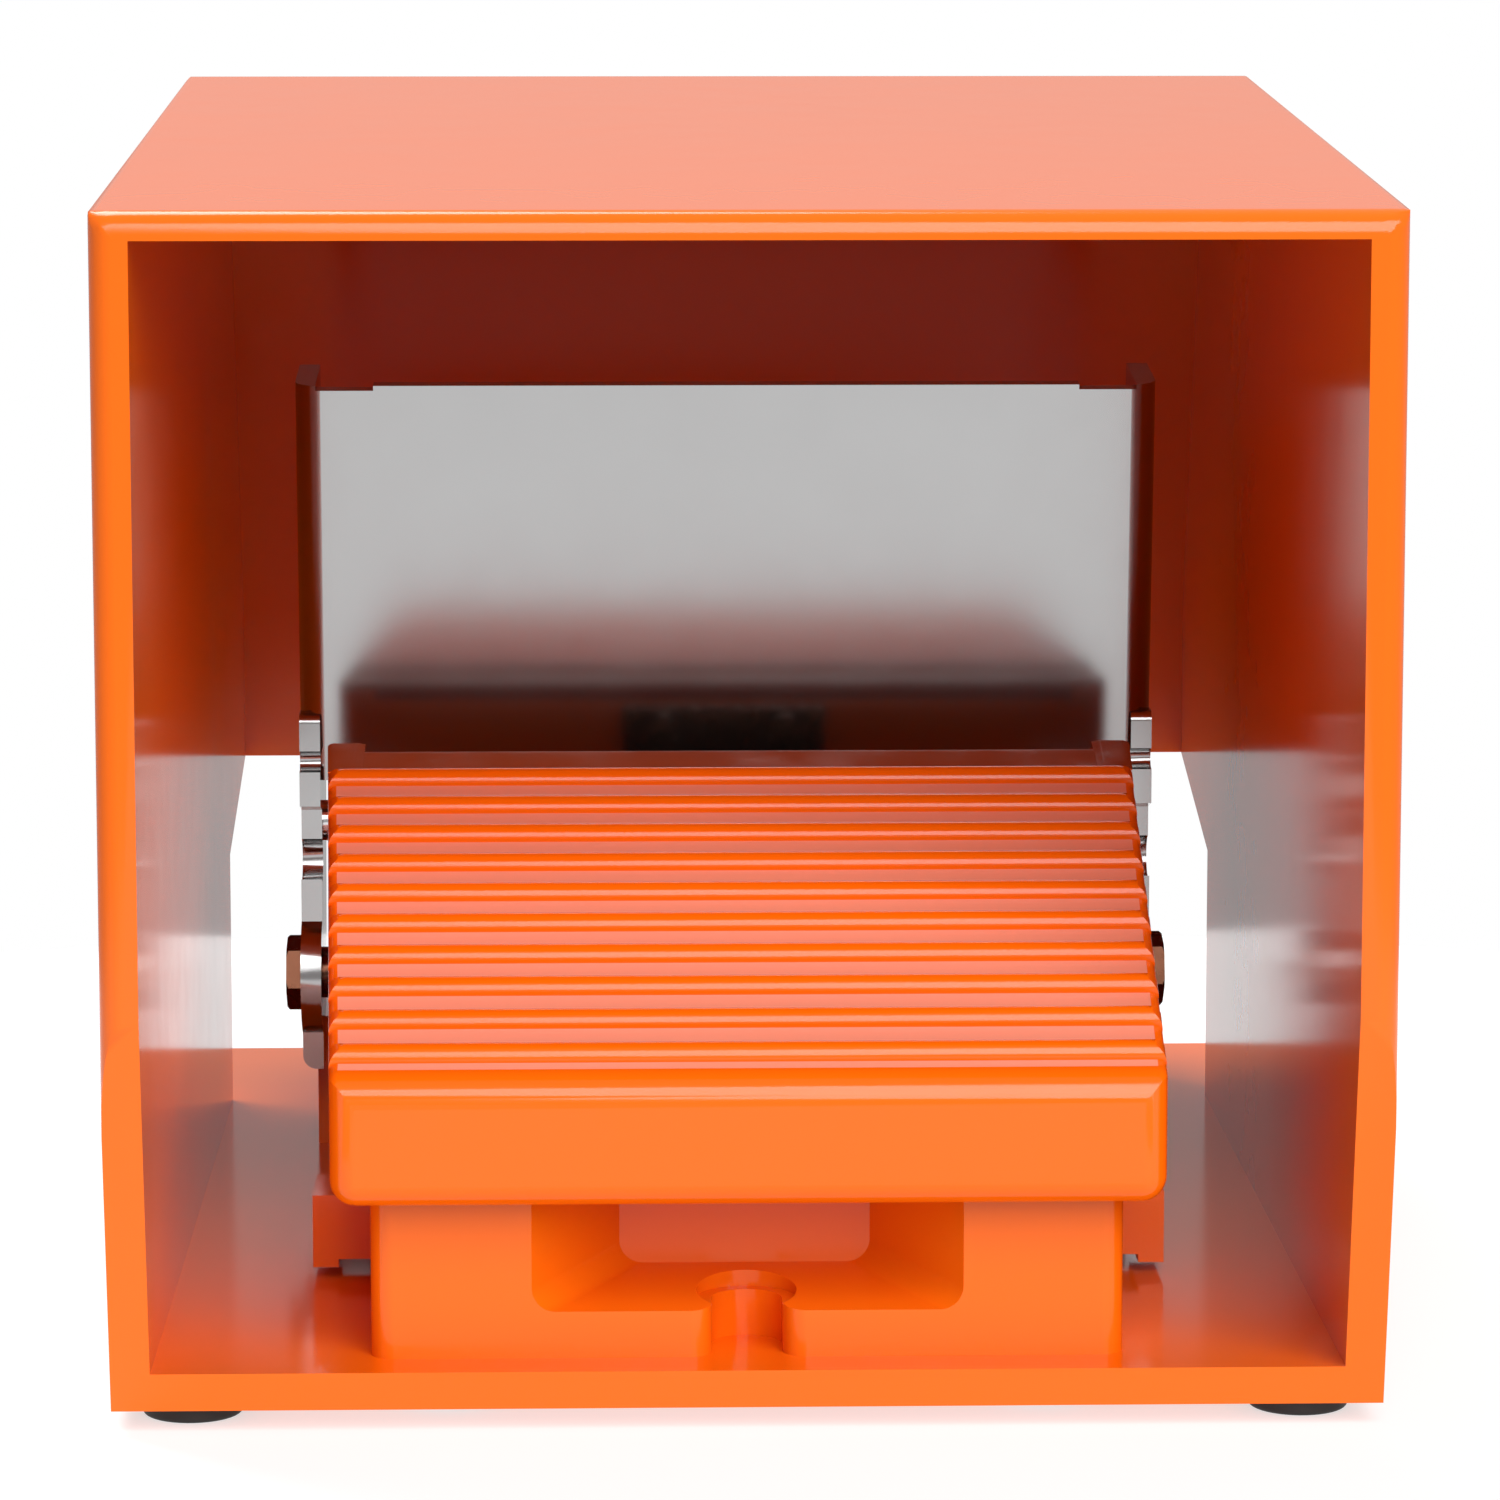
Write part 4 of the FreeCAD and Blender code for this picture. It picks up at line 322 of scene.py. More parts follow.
class NodeTree:
    """A Geometry Nodes tree with named inputs, whose result becomes a plain mesh."""

    def __init__(self, name: str) -> None:
        """Start an empty tree.

        Args:
            name: the tree's name.
        """
        self.tree = bpy.data.node_groups.new(name, "GeometryNodeTree")
        self.tree.interface.new_socket("Geometry", in_out="INPUT", socket_type="NodeSocketGeometry")
        self.tree.interface.new_socket("Geometry", in_out="OUTPUT", socket_type="NodeSocketGeometry")
        self.entry = self.tree.nodes.new("NodeGroupInput")
        self.exit = self.tree.nodes.new("NodeGroupOutput")
        self.values: dict[str, float | int | Vector] = {}

    def size(self, name: str, value: float | int | Vector) -> bpy.types.NodeSocket:
        """Add a named input.

        Args:
            name: the input's name.
            value: the value it gets on the modifier.

        Returns:
            The socket that carries it.
        """
        kinds = {int: "NodeSocketInt", float: "NodeSocketFloat", Vector: "NodeSocketVector"}
        item = self.tree.interface.new_socket(name, in_out="INPUT", socket_type=kinds[type(value)])
        self.values[item.identifier] = value
        return self.entry.outputs[name]

    def add(self, kind: str, **inputs: NodeInput) -> bpy.types.Node:
        """Add a node and feed its inputs.

        Args:
            kind: the node's type.
            inputs: a socket or a constant for each input, with _ for a space in its name.

        Returns:
            The node.
        """
        node = self.tree.nodes.new(kind)
        for name, value in inputs.items():
            socket = node.inputs[name.replace("_", " ")]
            if isinstance(value, bpy.types.NodeSocket):
                self.tree.links.new(value, socket)
            else:
                socket.default_value = value
        return node

    def position(self) -> bpy.types.NodeOutputs:
        """The X, Y and Z of each point, as sockets."""
        place = self.add("GeometryNodeInputPosition").outputs["Position"]
        return self.add("ShaderNodeSeparateXYZ", Vector=place).outputs

    def vector(self, x: NodeInput, y: NodeInput, z: NodeInput = 0.0) -> bpy.types.NodeSocket:
        """A vector from its three parts."""
        return self.add("ShaderNodeCombineXYZ", X=x, Y=y, Z=z).outputs["Vector"]

    def product(self, first: bpy.types.NodeSocket, second: bpy.types.NodeSocket) -> bpy.types.NodeSocket:
        """Multiply two numbers.

        Args:
            first: one of them.
            second: the other.

        Returns:
            Their product.
        """
        node = self.tree.nodes.new("ShaderNodeMath")
        node.operation = "MULTIPLY"
        for socket, source in zip(node.inputs, (first, second)):
            self.tree.links.new(source, socket)
        return node.outputs["Value"]

    def helix(
        self, radius: float, turns: float, height: bpy.types.NodeSocket, steps: int
    ) -> bpy.types.NodeSocket:
        """Draw a curve that winds upward from the origin.

        Args:
            radius: its radius, in metres.
            turns: how many turns it has.
            height: its rise, in metres.
            steps: how many points each turn has.

        Returns:
            The curve.
        """
        spiral = self.add(
            "GeometryNodeCurveSpiral",
            Resolution=self.size("Steps Per Turn", steps),
            Rotations=self.size("Turns", turns),
            Start_Radius=self.size("Helix Radius", radius),
            End_Radius=radius,
            Height=height,
        )
        return spiral.outputs["Curve"]

    def wire(self, path: bpy.types.NodeSocket, radius: float, sides: int) -> bpy.types.NodeSocket:
        """Lay a round wire along a curve, closed at both ends.

        Args:
            path: the curve.
            radius: the wire's radius, in metres.
            sides: how many sides its section has.

        Returns:
            The wire's mesh.
        """
        section = self.add(
            "GeometryNodeCurvePrimitiveCircle", Resolution=sides, Radius=self.size("Wire Radius", radius)
        )
        wire = self.add(
            "GeometryNodeCurveToMesh", Curve=path, Profile_Curve=section.outputs["Curve"], Fill_Caps=True
        )
        return wire.outputs["Mesh"]

    def mesh(
        self, last: bpy.types.NodeSocket, material: bpy.types.Material, seed: bpy.types.Mesh | None = None
    ) -> bpy.types.Mesh:
        """Close the tree and turn its result into a mesh.

        Args:
            last: the geometry that the tree makes.
            material: the finish that it gets.
            seed: the mesh that the tree starts from, or None for an empty one.

        Returns:
            The mesh.
        """
        real = self.add("GeometryNodeRealizeInstances", Geometry=last)
        dressed = self.add("GeometryNodeSetMaterial", Geometry=real.outputs["Geometry"], Material=material)
        self.tree.links.new(dressed.outputs["Geometry"], self.exit.inputs["Geometry"])
        host = bpy.data.objects.new(self.tree.name, seed or bpy.data.meshes.new(self.tree.name))
        bpy.context.scene.collection.objects.link(host)
        modifier = host.modifiers.new(self.tree.name, "NODES")
        modifier.node_group = self.tree
        for identifier, value in self.values.items():
            modifier[identifier] = value
        result = evaluated_mesh(host)
        host.modifiers.remove(modifier)
        bpy.data.objects.remove(host)
        return result


def evaluated_mesh(host: bpy.types.Object) -> bpy.types.Mesh:
    """A plain mesh of an object with its modifiers applied."""
    return bpy.data.meshes.new_from_object(host.evaluated_get(bpy.context.evaluated_depsgraph_get()))


@dataclass(frozen=True)
class Screw:
    """A screw with a driven head, drawn upright with the head's outer face at the bottom."""

    head_radius: float
    head_height: float
    shank_radius: float
    length: float
    drive: Drive
    countersunk: bool = False
    rim: float = 0.3 * MM
    drive_reach: float = 0.62
    drive_depth: float = 1.1 * MM
    cross_arm: float = 0.22
    drive_taper: float = 0.9
    sides: int = 48

    def outline(self) -> list[tuple[float, float]]:
        """Find the rings that the screw is turned from.

        Returns:
            Radius and height of each ring, from the rim of the outer face to the shank's end.
        """
        low = self.head_radius - (0.0 if self.countersunk else self.rim)
        rings = [(low, 0.0), (self.head_radius, self.rim)]
        if not self.countersunk:
            rings.append((self.head_radius, self.head_height))
        rings.append((self.shank_radius, self.head_height))
        rings.append((self.shank_radius, self.length - self.rim))
        rings.append((self.shank_radius - self.rim, self.length))
        return rings

    def recess(self) -> list[tuple[float, float]]:
        """Draw the outline of the drive recess in the head's face.

        Returns:
            The outline's points.
        """
        reach = self.head_radius * self.drive_reach
        if self.drive is Drive.SOCKET:
            turns = [math.tau * number / 6 for number in range(6)]
            return [(reach * math.cos(turn), reach * math.sin(turn)) for turn in turns]
        arm = reach * self.cross_arm
        points = []
        for number in range(4):
            along, over = math.cos(math.tau * number / 4), math.sin(math.tau * number / 4)
            for x, y in ((reach, -arm), (reach, arm), (arm, arm)):
                points.append((x * along - y * over, x * over + y * along))
        return points

    def mesh(self, name: str) -> bpy.types.Mesh:
        """Build the screw's closed mesh.

        Args:
            name: the mesh's name.

        Returns:
            The mesh.
        """
        work = bmesh.new()
        turns = [math.tau * number / self.sides for number in range(self.sides)]
        rings = [
            [work.verts.new((radius * math.cos(turn), radius * math.sin(turn), height)) for turn in turns]
            for radius, height in self.outline()
        ]
        for low, high in zip(rings, rings[1:]):
            for number in range(self.sides):
                after = (number + 1) % self.sides
                work.faces.new((low[number], low[after], high[after], high[number]))
        work.faces.new(rings[-1])
        mouth = [work.verts.new((x, y, 0.0)) for x, y in self.recess()]
        taper = self.drive_taper
        floor = [work.verts.new((x * taper, y * taper, self.drive_depth)) for x, y in self.recess()]
        for number in range(len(mouth)):
            after = (number + 1) % len(mouth)
            work.faces.new((mouth[number], mouth[after], floor[after], floor[number]))
        work.faces.new(floor)
        loops = []
        for ring in (rings[0], mouth):
            for number in range(len(ring)):
                pair = (ring[number], ring[(number + 1) % len(ring)])
                loops.append(work.edges.get(pair) or work.edges.new(pair))
        bmesh.ops.triangle_fill(work, edges=loops, use_beauty=True)
        bmesh.ops.recalc_face_normals(work, faces=work.faces)
        mesh = bpy.data.meshes.new(name)
        work.to_mesh(mesh)
        work.free()
        return mesh


class FinishBook:
    """Every finish of the object, built once."""

    def __init__(self) -> None:
        """Build all the materials."""
        self.hood_enamel = Enamel(
            "hood_enamel", (0.81, 0.131, 0.003), (0.8, 0.128, 0.003), gloss=(0.135, 0.15)
        ).material()
        self.pedal_enamel = Enamel("pedal_enamel", (0.81, 0.124, 0.002), (0.8, 0.121, 0.002)).material()
        self.flap_steel = Plating(
            "flap_steel",
            (0.37, 0.37, 0.37),
            (0.36, 0.36, 0.36),
            (0.14, 0.16),
            grain_stretch=(1.0, 1.0, 6.0),
            grain_height=0.0002 * MM,
            blot=30 * MM,
        ).material()
        self.bright_zinc = Plating(
            "bright_zinc", (0.64, 0.64, 0.65), (0.55, 0.55, 0.55), (0.1, 0.18), blot=6 * MM
        ).material()
        # dark brownish metal: painted shade on the catch plate and its screws under the flap, and painted
        # orange reflection on the pivot bolts and bushes
        self.painted_shade_and_reflection_metal = Plating(
            "painted_shade_and_reflection_metal", (0.11, 0.045, 0.026), (0.09, 0.037, 0.022), (0.2, 0.3), blot=6 * MM
        ).material()
        # pinkish copy of the pedal enamel: painted reflection of the pale surroundings on the valley
        # floors between the ribs
        self.pedal_valleys_painted_reflection = Enamel(
            "pedal_valleys_painted_reflection", (0.8, 0.29, 0.19), (0.79, 0.28, 0.185), gloss=(0.2, 0.26)
        ).material()
        # dark, rough copy of the pedal enamel: painted shade on the bare rear strip under the flap
        self.pedal_rear_painted_shade = Enamel(
            "pedal_rear_painted_shade", (0.3, 0.045, 0.001), (0.29, 0.043, 0.001), gloss=(0.5, 0.6)
        ).material()
        self.spring_wire = Plating(
            "spring_wire", (0.42, 0.42, 0.43), (0.3, 0.3, 0.3), (0.22, 0.34), blot=4 * MM
        ).material()
        self.brass = Plating(
            "brass", (0.82, 0.56, 0.25), (0.68, 0.44, 0.18), (0.18, 0.3), blot=5 * MM
        ).material()
        self.black_rubber = Moulded(
            "black_rubber", (0.008, 0.008, 0.008), (0.014, 0.014, 0.013), (0.5, 0.65)
        ).material()
        self.black_nylon = Moulded(
            "black_nylon", (0.016, 0.016, 0.018), (0.024, 0.024, 0.026), (0.38, 0.5)
        ).material()
        self.white_acetal = Moulded(
            "white_acetal", (0.78, 0.76, 0.7), (0.7, 0.68, 0.62), (0.3, 0.42)
        ).material()


class Bench:
    """Turns CAD nodes and new meshes into finished pieces."""

    def __init__(self, frame: dict) -> None:
        """Keep the frame.
        """
        self.frame = frame
        self.slots = {part["node"]: part["material_slot"] for part in frame["record"]["subparts"]}

    def paint(self, node: str, material: bpy.types.Material) -> None:
        """Give a CAD node a material.

        Args:
            node: the node's name.
            material: its finish.
        """
        mesh = self.frame["nodes"][node].data
        mesh.materials.clear()
        mesh.materials.append(material)
        LOG.info("painted %s with %s", node, material.name)

    def smooth_copy(
        self,
        node: str,
        name: str,
        body: Body,
        material: bpy.types.Material,
        reshape: Reshape | None = None,
    ) -> bpy.types.Object:
        """Stand a welded, smoothly shaded copy in for a CAD node.

        Args:
            node: the node's name.
            name: the new piece's name.
            body: the body that carries it.
            material: its finish.
            reshape: what moves the copy's points before it is shaded.

        Returns:
            The new piece.
        """
        mesh = self.frame["nodes"][node].data.copy()
        mesh.name = name
        work = bmesh.new()
        work.from_mesh(mesh)
        bmesh.ops.remove_doubles(work, verts=work.verts, dist=WELD)
        bmesh.ops.dissolve_degenerate(work, edges=work.edges, dist=SLIVER)
        if reshape is not None:
            reshape(work)
        for edge in work.edges:
            edge.smooth = len(edge.link_faces) == 2 and edge.calc_face_angle(0.0) < CAD_CREASE
        for face in work.faces:
            face.smooth = True
        work.to_mesh(mesh)
        work.free()
        piece = self.finish(mesh, name, body, material)
        shading = piece.modifiers.new("flat_faces_stay_flat", "WEIGHTED_NORMAL")
        shading.mode = "FACE_AREA"
        shading.weight = LARGE_FACES_LEAD
        shading.keep_sharp = True
        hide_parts(node)
        return piece

    def screws(
        self,
        node: str,
        name: str,
        body: Body,
        material: bpy.types.Material,
        screw: Screw,
        rows: tuple[int, int] = (2, 2),
        spread: float = 1.0,
        outward: Vector = DOWN,
    ) -> None:
        """Stand a grid of driven screws in for a CAD node of screws.

        Args:
            node: the node's name.
            name: the new piece's name.
            body: the body that carries it.
            material: its finish.
            screw: one screw.
            rows: how many screws stand along X and Y.
            spread: how many times wider the rear row is than the front row.
            outward: the direction that the heads face.
        """
        low, high = (Vector(corner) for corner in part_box(node))
        half = (high - low) / 2
        middle = low + half + outward * abs(half.dot(outward))
        many_rows = rows[1] > 1
        wide = 2 * (half.x - screw.head_radius) / (spread if many_rows else 1.0)
        deep = 2 * (half.y - screw.head_radius) if many_rows else 0.0
        margin = 1 * MM  # the range isn't empty where there is one row
        tree = NodeTree(name)
        grid = tree.add(
            "GeometryNodeMeshGrid",
            Size_X=tree.size("Distance Across", wide),
            Size_Y=tree.size("Distance Along", deep),
            Vertices_X=tree.size("Columns", rows[0]),
            Vertices_Y=tree.size("Rows", rows[1]),
        )
        place = tree.position()
        widen = tree.add(
            "ShaderNodeMapRange",
            Value=place["Y"],
            From_Min=-deep / 2 - margin,
            From_Max=deep / 2 + margin,
            To_Min=1.0,
            To_Max=tree.size("Rear Spread", spread),
        )
        placed = tree.add(
            "GeometryNodeSetPosition",
            Geometry=grid.outputs["Mesh"],
            Position=tree.vector(tree.product(place["X"], widen.outputs["Result"]), place["Y"]),
            Offset=tree.size("Middle", middle),
        )
        copies = tree.add(
            "GeometryNodeInstanceOnPoints",
            Points=placed.outputs["Geometry"],
            Instance=tree.entry.outputs["Geometry"],
        )
        seed = screw.mesh(name)
        seed.transform(DOWN.rotation_difference(outward).to_matrix().to_4x4())
        mesh = tree.mesh(copies.outputs["Instances"], material, seed)
        self.stand_in(mesh, name, body, material, node)

    def stand_in(
        self, mesh: bpy.types.Mesh, name: str, body: Body, material: bpy.types.Material, node: str
    ) -> bpy.types.Object:
        """Shade a made mesh and let it replace a CAD node.

        Args:
            mesh: the mesh.
            name: the piece's name.
            body: the body that carries it.
            material: its finish.
            node: the node it replaces.

        Returns:
            The piece.
        """
        mesh.name = name
        mesh.shade_smooth()
        mesh.set_sharp_from_angle(angle=MADE_CREASE)
        piece = self.finish(mesh, name, body, material)
        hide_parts(node)
        return piece

    def finish(
        self, mesh: bpy.types.Mesh, name: str, body: Body, material: bpy.types.Material
    ) -> bpy.types.Object:
        """Link a mesh as a piece that rides on a body.

        Args:
            mesh: the mesh, in the row frame.
            name: the piece's name.
            body: the body that carries it.
            material: its finish.

        Returns:
            The piece.
        """
        mesh.materials.clear()
        mesh.materials.append(material)
        piece = bpy.data.objects.new(name, mesh)
        bpy.context.scene.collection.objects.link(piece)
        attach(piece, body.value)
        LOG.info("made %s on %s, %d faces", name, body.value, len(mesh.polygons))
        return piece


@dataclass
class Hood:
    """The enamelled hood with its floor plate, feet and their screws."""

    bench: Bench
    finishes: FinishBook
    half_width: float = 80 * MM
    seam_radius: float = 3.5 * MM
    front: tuple[float, float] = (-111 * MM, 153.5 * MM)
    roof_rise: float = math.radians(3.66)
    knee: tuple[float, float] = (111 * MM, 79.8 * MM)
    back_slant: float = math.radians(17.5)
    rear_radius: float = 24 * MM
    front_screw_x: float = 38 * MM
    rear_screw_x: float = 53 * MM

    def build(self) -> None:
        """Dress the hood and what stands under it."""
        book = self.finishes
        self.bench.smooth_copy(
            "protective_hood", "hood_shell", Body.BASE, book.hood_enamel, reshape=self.square_the_seams
        )
        self.bench.smooth_copy("rubber_feet", "feet_discs", Body.BASE, book.black_rubber)
        self.bench.screws(
            "feet_screws",
            "feet_cross_screws",
            Body.BASE,
            book.bright_zinc,
            Screw(
                head_radius=3.5 * MM,
                head_height=1.4 * MM,
                shank_radius=2.0 * MM,
                length=self.depth_of("feet_screws"),
                drive=Drive.CROSS,
                drive_depth=0.8 * MM,
            ),
        )
        self.bench.screws(
            "housing_fixing_screws",
            "housing_socket_screws",
            Body.BASE,
            book.bright_zinc,
            Screw(
                head_radius=5.8 * MM,
                head_height=2.8 * MM,
                shank_radius=3.0 * MM,
                length=self.depth_of("housing_fixing_screws"),
                drive=Drive.SOCKET,
                countersunk=True,
                rim=0.1 * MM,
                drive_reach=0.4,
                drive_depth=1.8 * MM,
            ),
            spread=self.rear_screw_x / self.front_screw_x,
        )

    def depth_of(self, node: str) -> float:
        """Length of a node's upright screws."""
        low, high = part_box(node)
        return high[2] - low[2]

    def outside(self, depth: float, height: float) -> tuple[Vector, float]:
        """Find how far a point lies inside the hood's outline in the side view.

        Args:
            depth: the point's Y.
            height: the point's Z.

        Returns:
            The outline's outward direction (Y, Z) there, and the distance inside it.
        """
        point = Vector((depth, height))
        roof = Vector((-math.sin(self.roof_rise), math.cos(self.roof_rise)))
        back = Vector((math.cos(self.back_slant), math.sin(self.back_slant)))
        front = Vector(self.front)
        knee = Vector(self.knee)
        roof_level = roof.dot(front) - self.rear_radius
        back_level = back.dot(knee) - self.rear_radius
        centre_y = roof_level * back.y - roof.y * back_level
        centre_z = roof.x * back_level - back.x * roof_level
        centre = Vector((centre_y, centre_z)) / (roof.x * back.y - roof.y * back.x)
        along_roof = Vector((roof.y, -roof.x))
        up_back = Vector((-back.y, back.x))
        apart = point - centre
        if apart.dot(along_roof) > 0 and apart.dot(up_back) > 0:
            return apart.normalized(), self.rear_radius - apart.length
        below_roof = roof.dot(front - point)
        before_back = back.dot(knee - point)
        return (roof, below_roof) if below_roof < before_back else (back, before_back)

    def square_the_seams(self, work: bmesh.types.BMesh) -> None:
        """Draw the rounding along the roof's side seams out to the tight corner of a folded sheet.

        Args:
            work: the hood's mesh.
        """
        start = self.half_width - self.seam_radius
        slack = 1.01
        for vert in work.verts:
            across = abs(vert.co.x) - start
            outward, inside = self.outside(vert.co.y, vert.co.z)
            rise = self.seam_radius - inside
            reach = math.hypot(across, rise)
            if across <= 0 or rise <= 0 or reach > self.seam_radius * slack:
                continue
            growth = reach / max(across, rise)
            vert.co.x = math.copysign(start + across * growth, vert.co.x)
            vert.co.y = min(vert.co.y + outward.x * rise * (growth - 1), self.knee[0])
            vert.co.z += outward.y * rise * (growth - 1)


@dataclass
class BaseHousing:
    """The cast base block and everything fixed in it."""

    bench: Bench
    finishes: FinishBook
    plunger_travel: float = 5.75 * MM
    entry_radius: float = 9.3 * MM
    thread_turns: float = 4.5
    thread_length: float = 6.6 * MM
    thread_start: float = 70.45 * MM
    thread_height: float = 0.45 * MM
    thread_steps: int = 64
    thread_sides: int = 6

    def build(self) -> None:
        """Dress the block and its fittings."""
        book = self.finishes
        self.bench.smooth_copy("base_housing", "base_block", Body.BASE, book.hood_enamel)
        self.bench.smooth_copy("blanking_plug", "entry_plug", Body.BASE, book.black_nylon)
        painted = {
            "blanking_plug_seal": book.black_rubber,
            "base_gasket": book.black_rubber,
            "plunger_seals": book.black_rubber,
            "base_cover_plate": book.bright_zinc,
            "contact_block_screws": book.bright_zinc,
            "terminal_screws": book.bright_zinc,
            "earth_screw": book.brass,
            "earth_washer": book.brass,
            "fixed_contacts": book.brass,
            "plunger_guides": book.brass,
            "contact_block_left": book.black_nylon,
            "contact_block_right": book.black_nylon,
            "contact_bridge_left": book.brass,
            "contact_bridge_right": book.brass,
            "contact_plunger_left": book.white_acetal,
            "contact_plunger_right": book.white_acetal,
            "pedal_hinge_bushes": book.white_acetal,
        }
        for node, material in painted.items():
            self.bench.paint(node, material)
        self.dress_contact_springs()
        low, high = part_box("cover_plate_screws")
        self.bench.screws(
            "cover_plate_screws",
            "cover_cross_screws",
            Body.BASE,
            book.bright_zinc,
            Screw(
                head_radius=3.7 * MM,
                head_height=1.7 * MM,
                shank_radius=2.0 * MM,
                length=high[2] - low[2],
                drive=Drive.CROSS,
                countersunk=True,
                rim=0.1 * MM,
                drive_reach=0.55,
            ),
            rows=(2, 3),
        )
        self.lay_entry_thread()

    def dress_contact_springs(self) -> None:
        """Dress the contact springs and give the copy a mesh of its own."""
        springs = self.bench.smooth_copy(
            "contact_springs", "contact_coils", Body.BASE, self.finishes.spring_wire
        )
        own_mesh(springs)

    def lay_entry_thread(self) -> None:
        """Lay the thread's ridge along the wall of the open cable entry."""
        mounts = {mount["name"]: mount for mount in self.bench.frame["record"]["mounts"]}
        mouth = Vector(mounts["cable_entry"]["pos_m"])
        tree = NodeTree("entry_thread")
        length = tree.size("Threaded Length", self.thread_length)
        path = tree.helix(self.entry_radius, self.thread_turns, length, self.thread_steps)
        placed = tree.add(
            "GeometryNodeTransform",
            Geometry=tree.wire(path, self.thread_height, self.thread_sides),
            Translation=tree.size("Inner End", Vector((mouth.x, self.thread_start, mouth.z))),
            Rotation=Vector((-math.pi / 2, 0.0, 0.0)),
        )
        enamel = self.finishes.hood_enamel
        mesh = tree.mesh(placed.outputs["Geometry"], enamel)
        mesh.shade_smooth()
        piece = self.bench.finish(mesh, "entry_thread", Body.BASE, enamel)


@dataclass
class Pedal:
    """The ribbed pedal with its pin, springs and adjusting screws."""

    bench: Bench
    finishes: FinishBook
    front: float = -103 * MM
    front_half: float = 52.25 * MM
    rear: float = 7 * MM
    rear_half: float = 57.1 * MM
    bottom: float = 29.1 * MM
    front_top: float = 45.4 * MM
    slope: float = math.radians(13.8)
    nose_radius: float = 3.3 * MM
    nose_steps: int = 8
    nose_until: float = -66 * MM
    lowest: float = 20 * MM
    ears_start: float = -5.6 * MM
    bare_from: float = -7 * MM
    valley_depth: float = 0.05 * MM
    ear_share: float = 0.12
    spring_turns: float = 5.0
    spring_wire: float = 0.8 * MM
    spring_pressed: float = 0.45
    spring_steps: int = 48
    spring_sides: int = 14

    def build(self) -> None:
        """Dress the pedal and what moves with it."""
        book = self.finishes
        self.make_tread()
        # painted shade: the catch angle and its screws are dark so they merge with the shade under the
        # flap
        self.bench.smooth_copy("catch_plate", "catch_angle", Body.PEDAL, book.painted_shade_and_reflection_metal)
        for node in ("pedal_hinge_pin", "adjusting_screws", "adjusting_lock_nuts"):
            self.bench.paint(node, book.bright_zinc)
        low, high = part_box("catch_plate_screws")
        self.bench.screws(
            "catch_plate_screws",
            "catch_cross_screws",
            Body.PEDAL,
            book.painted_shade_and_reflection_metal,
            Screw(
                head_radius=3.5 * MM,
                head_height=2.2 * MM,
                shank_radius=2.0 * MM,
                length=high[1] - low[1],
                drive=Drive.CROSS,
            ),
            rows=(2, 1),
            outward=REARWARD,
        )
        self.wind_springs()

    def above_tread(self, place: Vector) -> float:
        """Height of a point above the tread's plane between the ribs."""
        return place.z - self.front_top - (place.y - self.front) * math.tan(self.slope)

    def lower_ears(self, work: bmesh.types.BMesh) -> None:
        """Press the raised rear corners down to low swells.

        Args:
            work: the pedal's mesh.
        """
        for vert in work.verts:
            height = self.above_tread(vert.co)
            if vert.co.y > self.ears_start and height > 0:
                vert.co.z -= height * (1 - self.ear_share)

    def nose_block(self) -> bpy.types.Object:
        """Make the block with a rounded nose that the pedal's front is trimmed to.

        Returns:
            The block. It holds the whole pedal, apart from the edges that the nose takes off.
        """
        slack = 0.02 * MM
        tail = 20 * MM
        step = 2 * MM
        ceiling = 100 * MM
        flare = (self.rear_half - self.front_half) / (self.rear - self.front)
        levels = (
            (self.front - slack, self.bottom - slack),
            (self.nose_until, self.bottom - slack),
            (self.nose_until + step, self.lowest),
            (self.rear + tail, self.lowest),
        )
        work = bmesh.new()
        rings = []
        for depth, low in levels:
            half = self.front_half + (depth - self.front) * flare + slack
            section = ((-half, low), (half, low), (half, ceiling), (-half, ceiling))
            rings.append([work.verts.new((x, depth, z)) for x, z in section])
        work.faces.new(rings[0])
        work.faces.new(list(reversed(rings[-1])))
        for near, far in zip(rings, rings[1:]):
            for number in range(4):
                after = (number + 1) % 4
                work.faces.new((near[after], near[number], far[number], far[after]))
        bmesh.ops.recalc_face_normals(work, faces=work.faces)
        nose = [
            edge
            for edge in work.edges
            if min(vert.co.z for vert in edge.verts) < self.bottom
            and min(vert.co.y for vert in edge.verts) < self.front
        ]
        bmesh.ops.bevel(
            work,
            geom=nose,
            offset=self.nose_radius,
            offset_type="OFFSET",
            segments=self.nose_steps,
            profile=0.5,
            affect="EDGES",
        )
        mesh = bpy.data.meshes.new("nose_block")
        work.to_mesh(mesh)
        work.free()
        block = bpy.data.objects.new("nose_block", mesh)
        bpy.context.scene.collection.objects.link(block)
        return block

    def trim_nose(self, work: bmesh.types.BMesh) -> None:
        """Round the pedal's lower and side edges at the front, as the casting has them.

        Args:
            work: the pedal's mesh.
        """
        self.lower_ears(work)
        mesh = bpy.data.meshes.new("pedal_blank")
        work.to_mesh(mesh)
        blank = bpy.data.objects.new("pedal_blank", mesh)
        bpy.context.scene.collection.objects.link(blank)
        block = self.nose_block()
        trim = blank.modifiers.new("trim", "BOOLEAN")
        trim.operation = "INTERSECT"
        trim.solver = "EXACT"
        trim.object = block
        work.clear()
        work.from_mesh(evaluated_mesh(blank))
        bmesh.ops.remove_doubles(work, verts=work.verts, dist=WELD)
        bpy.data.objects.remove(blank)
        bpy.data.objects.remove(block)

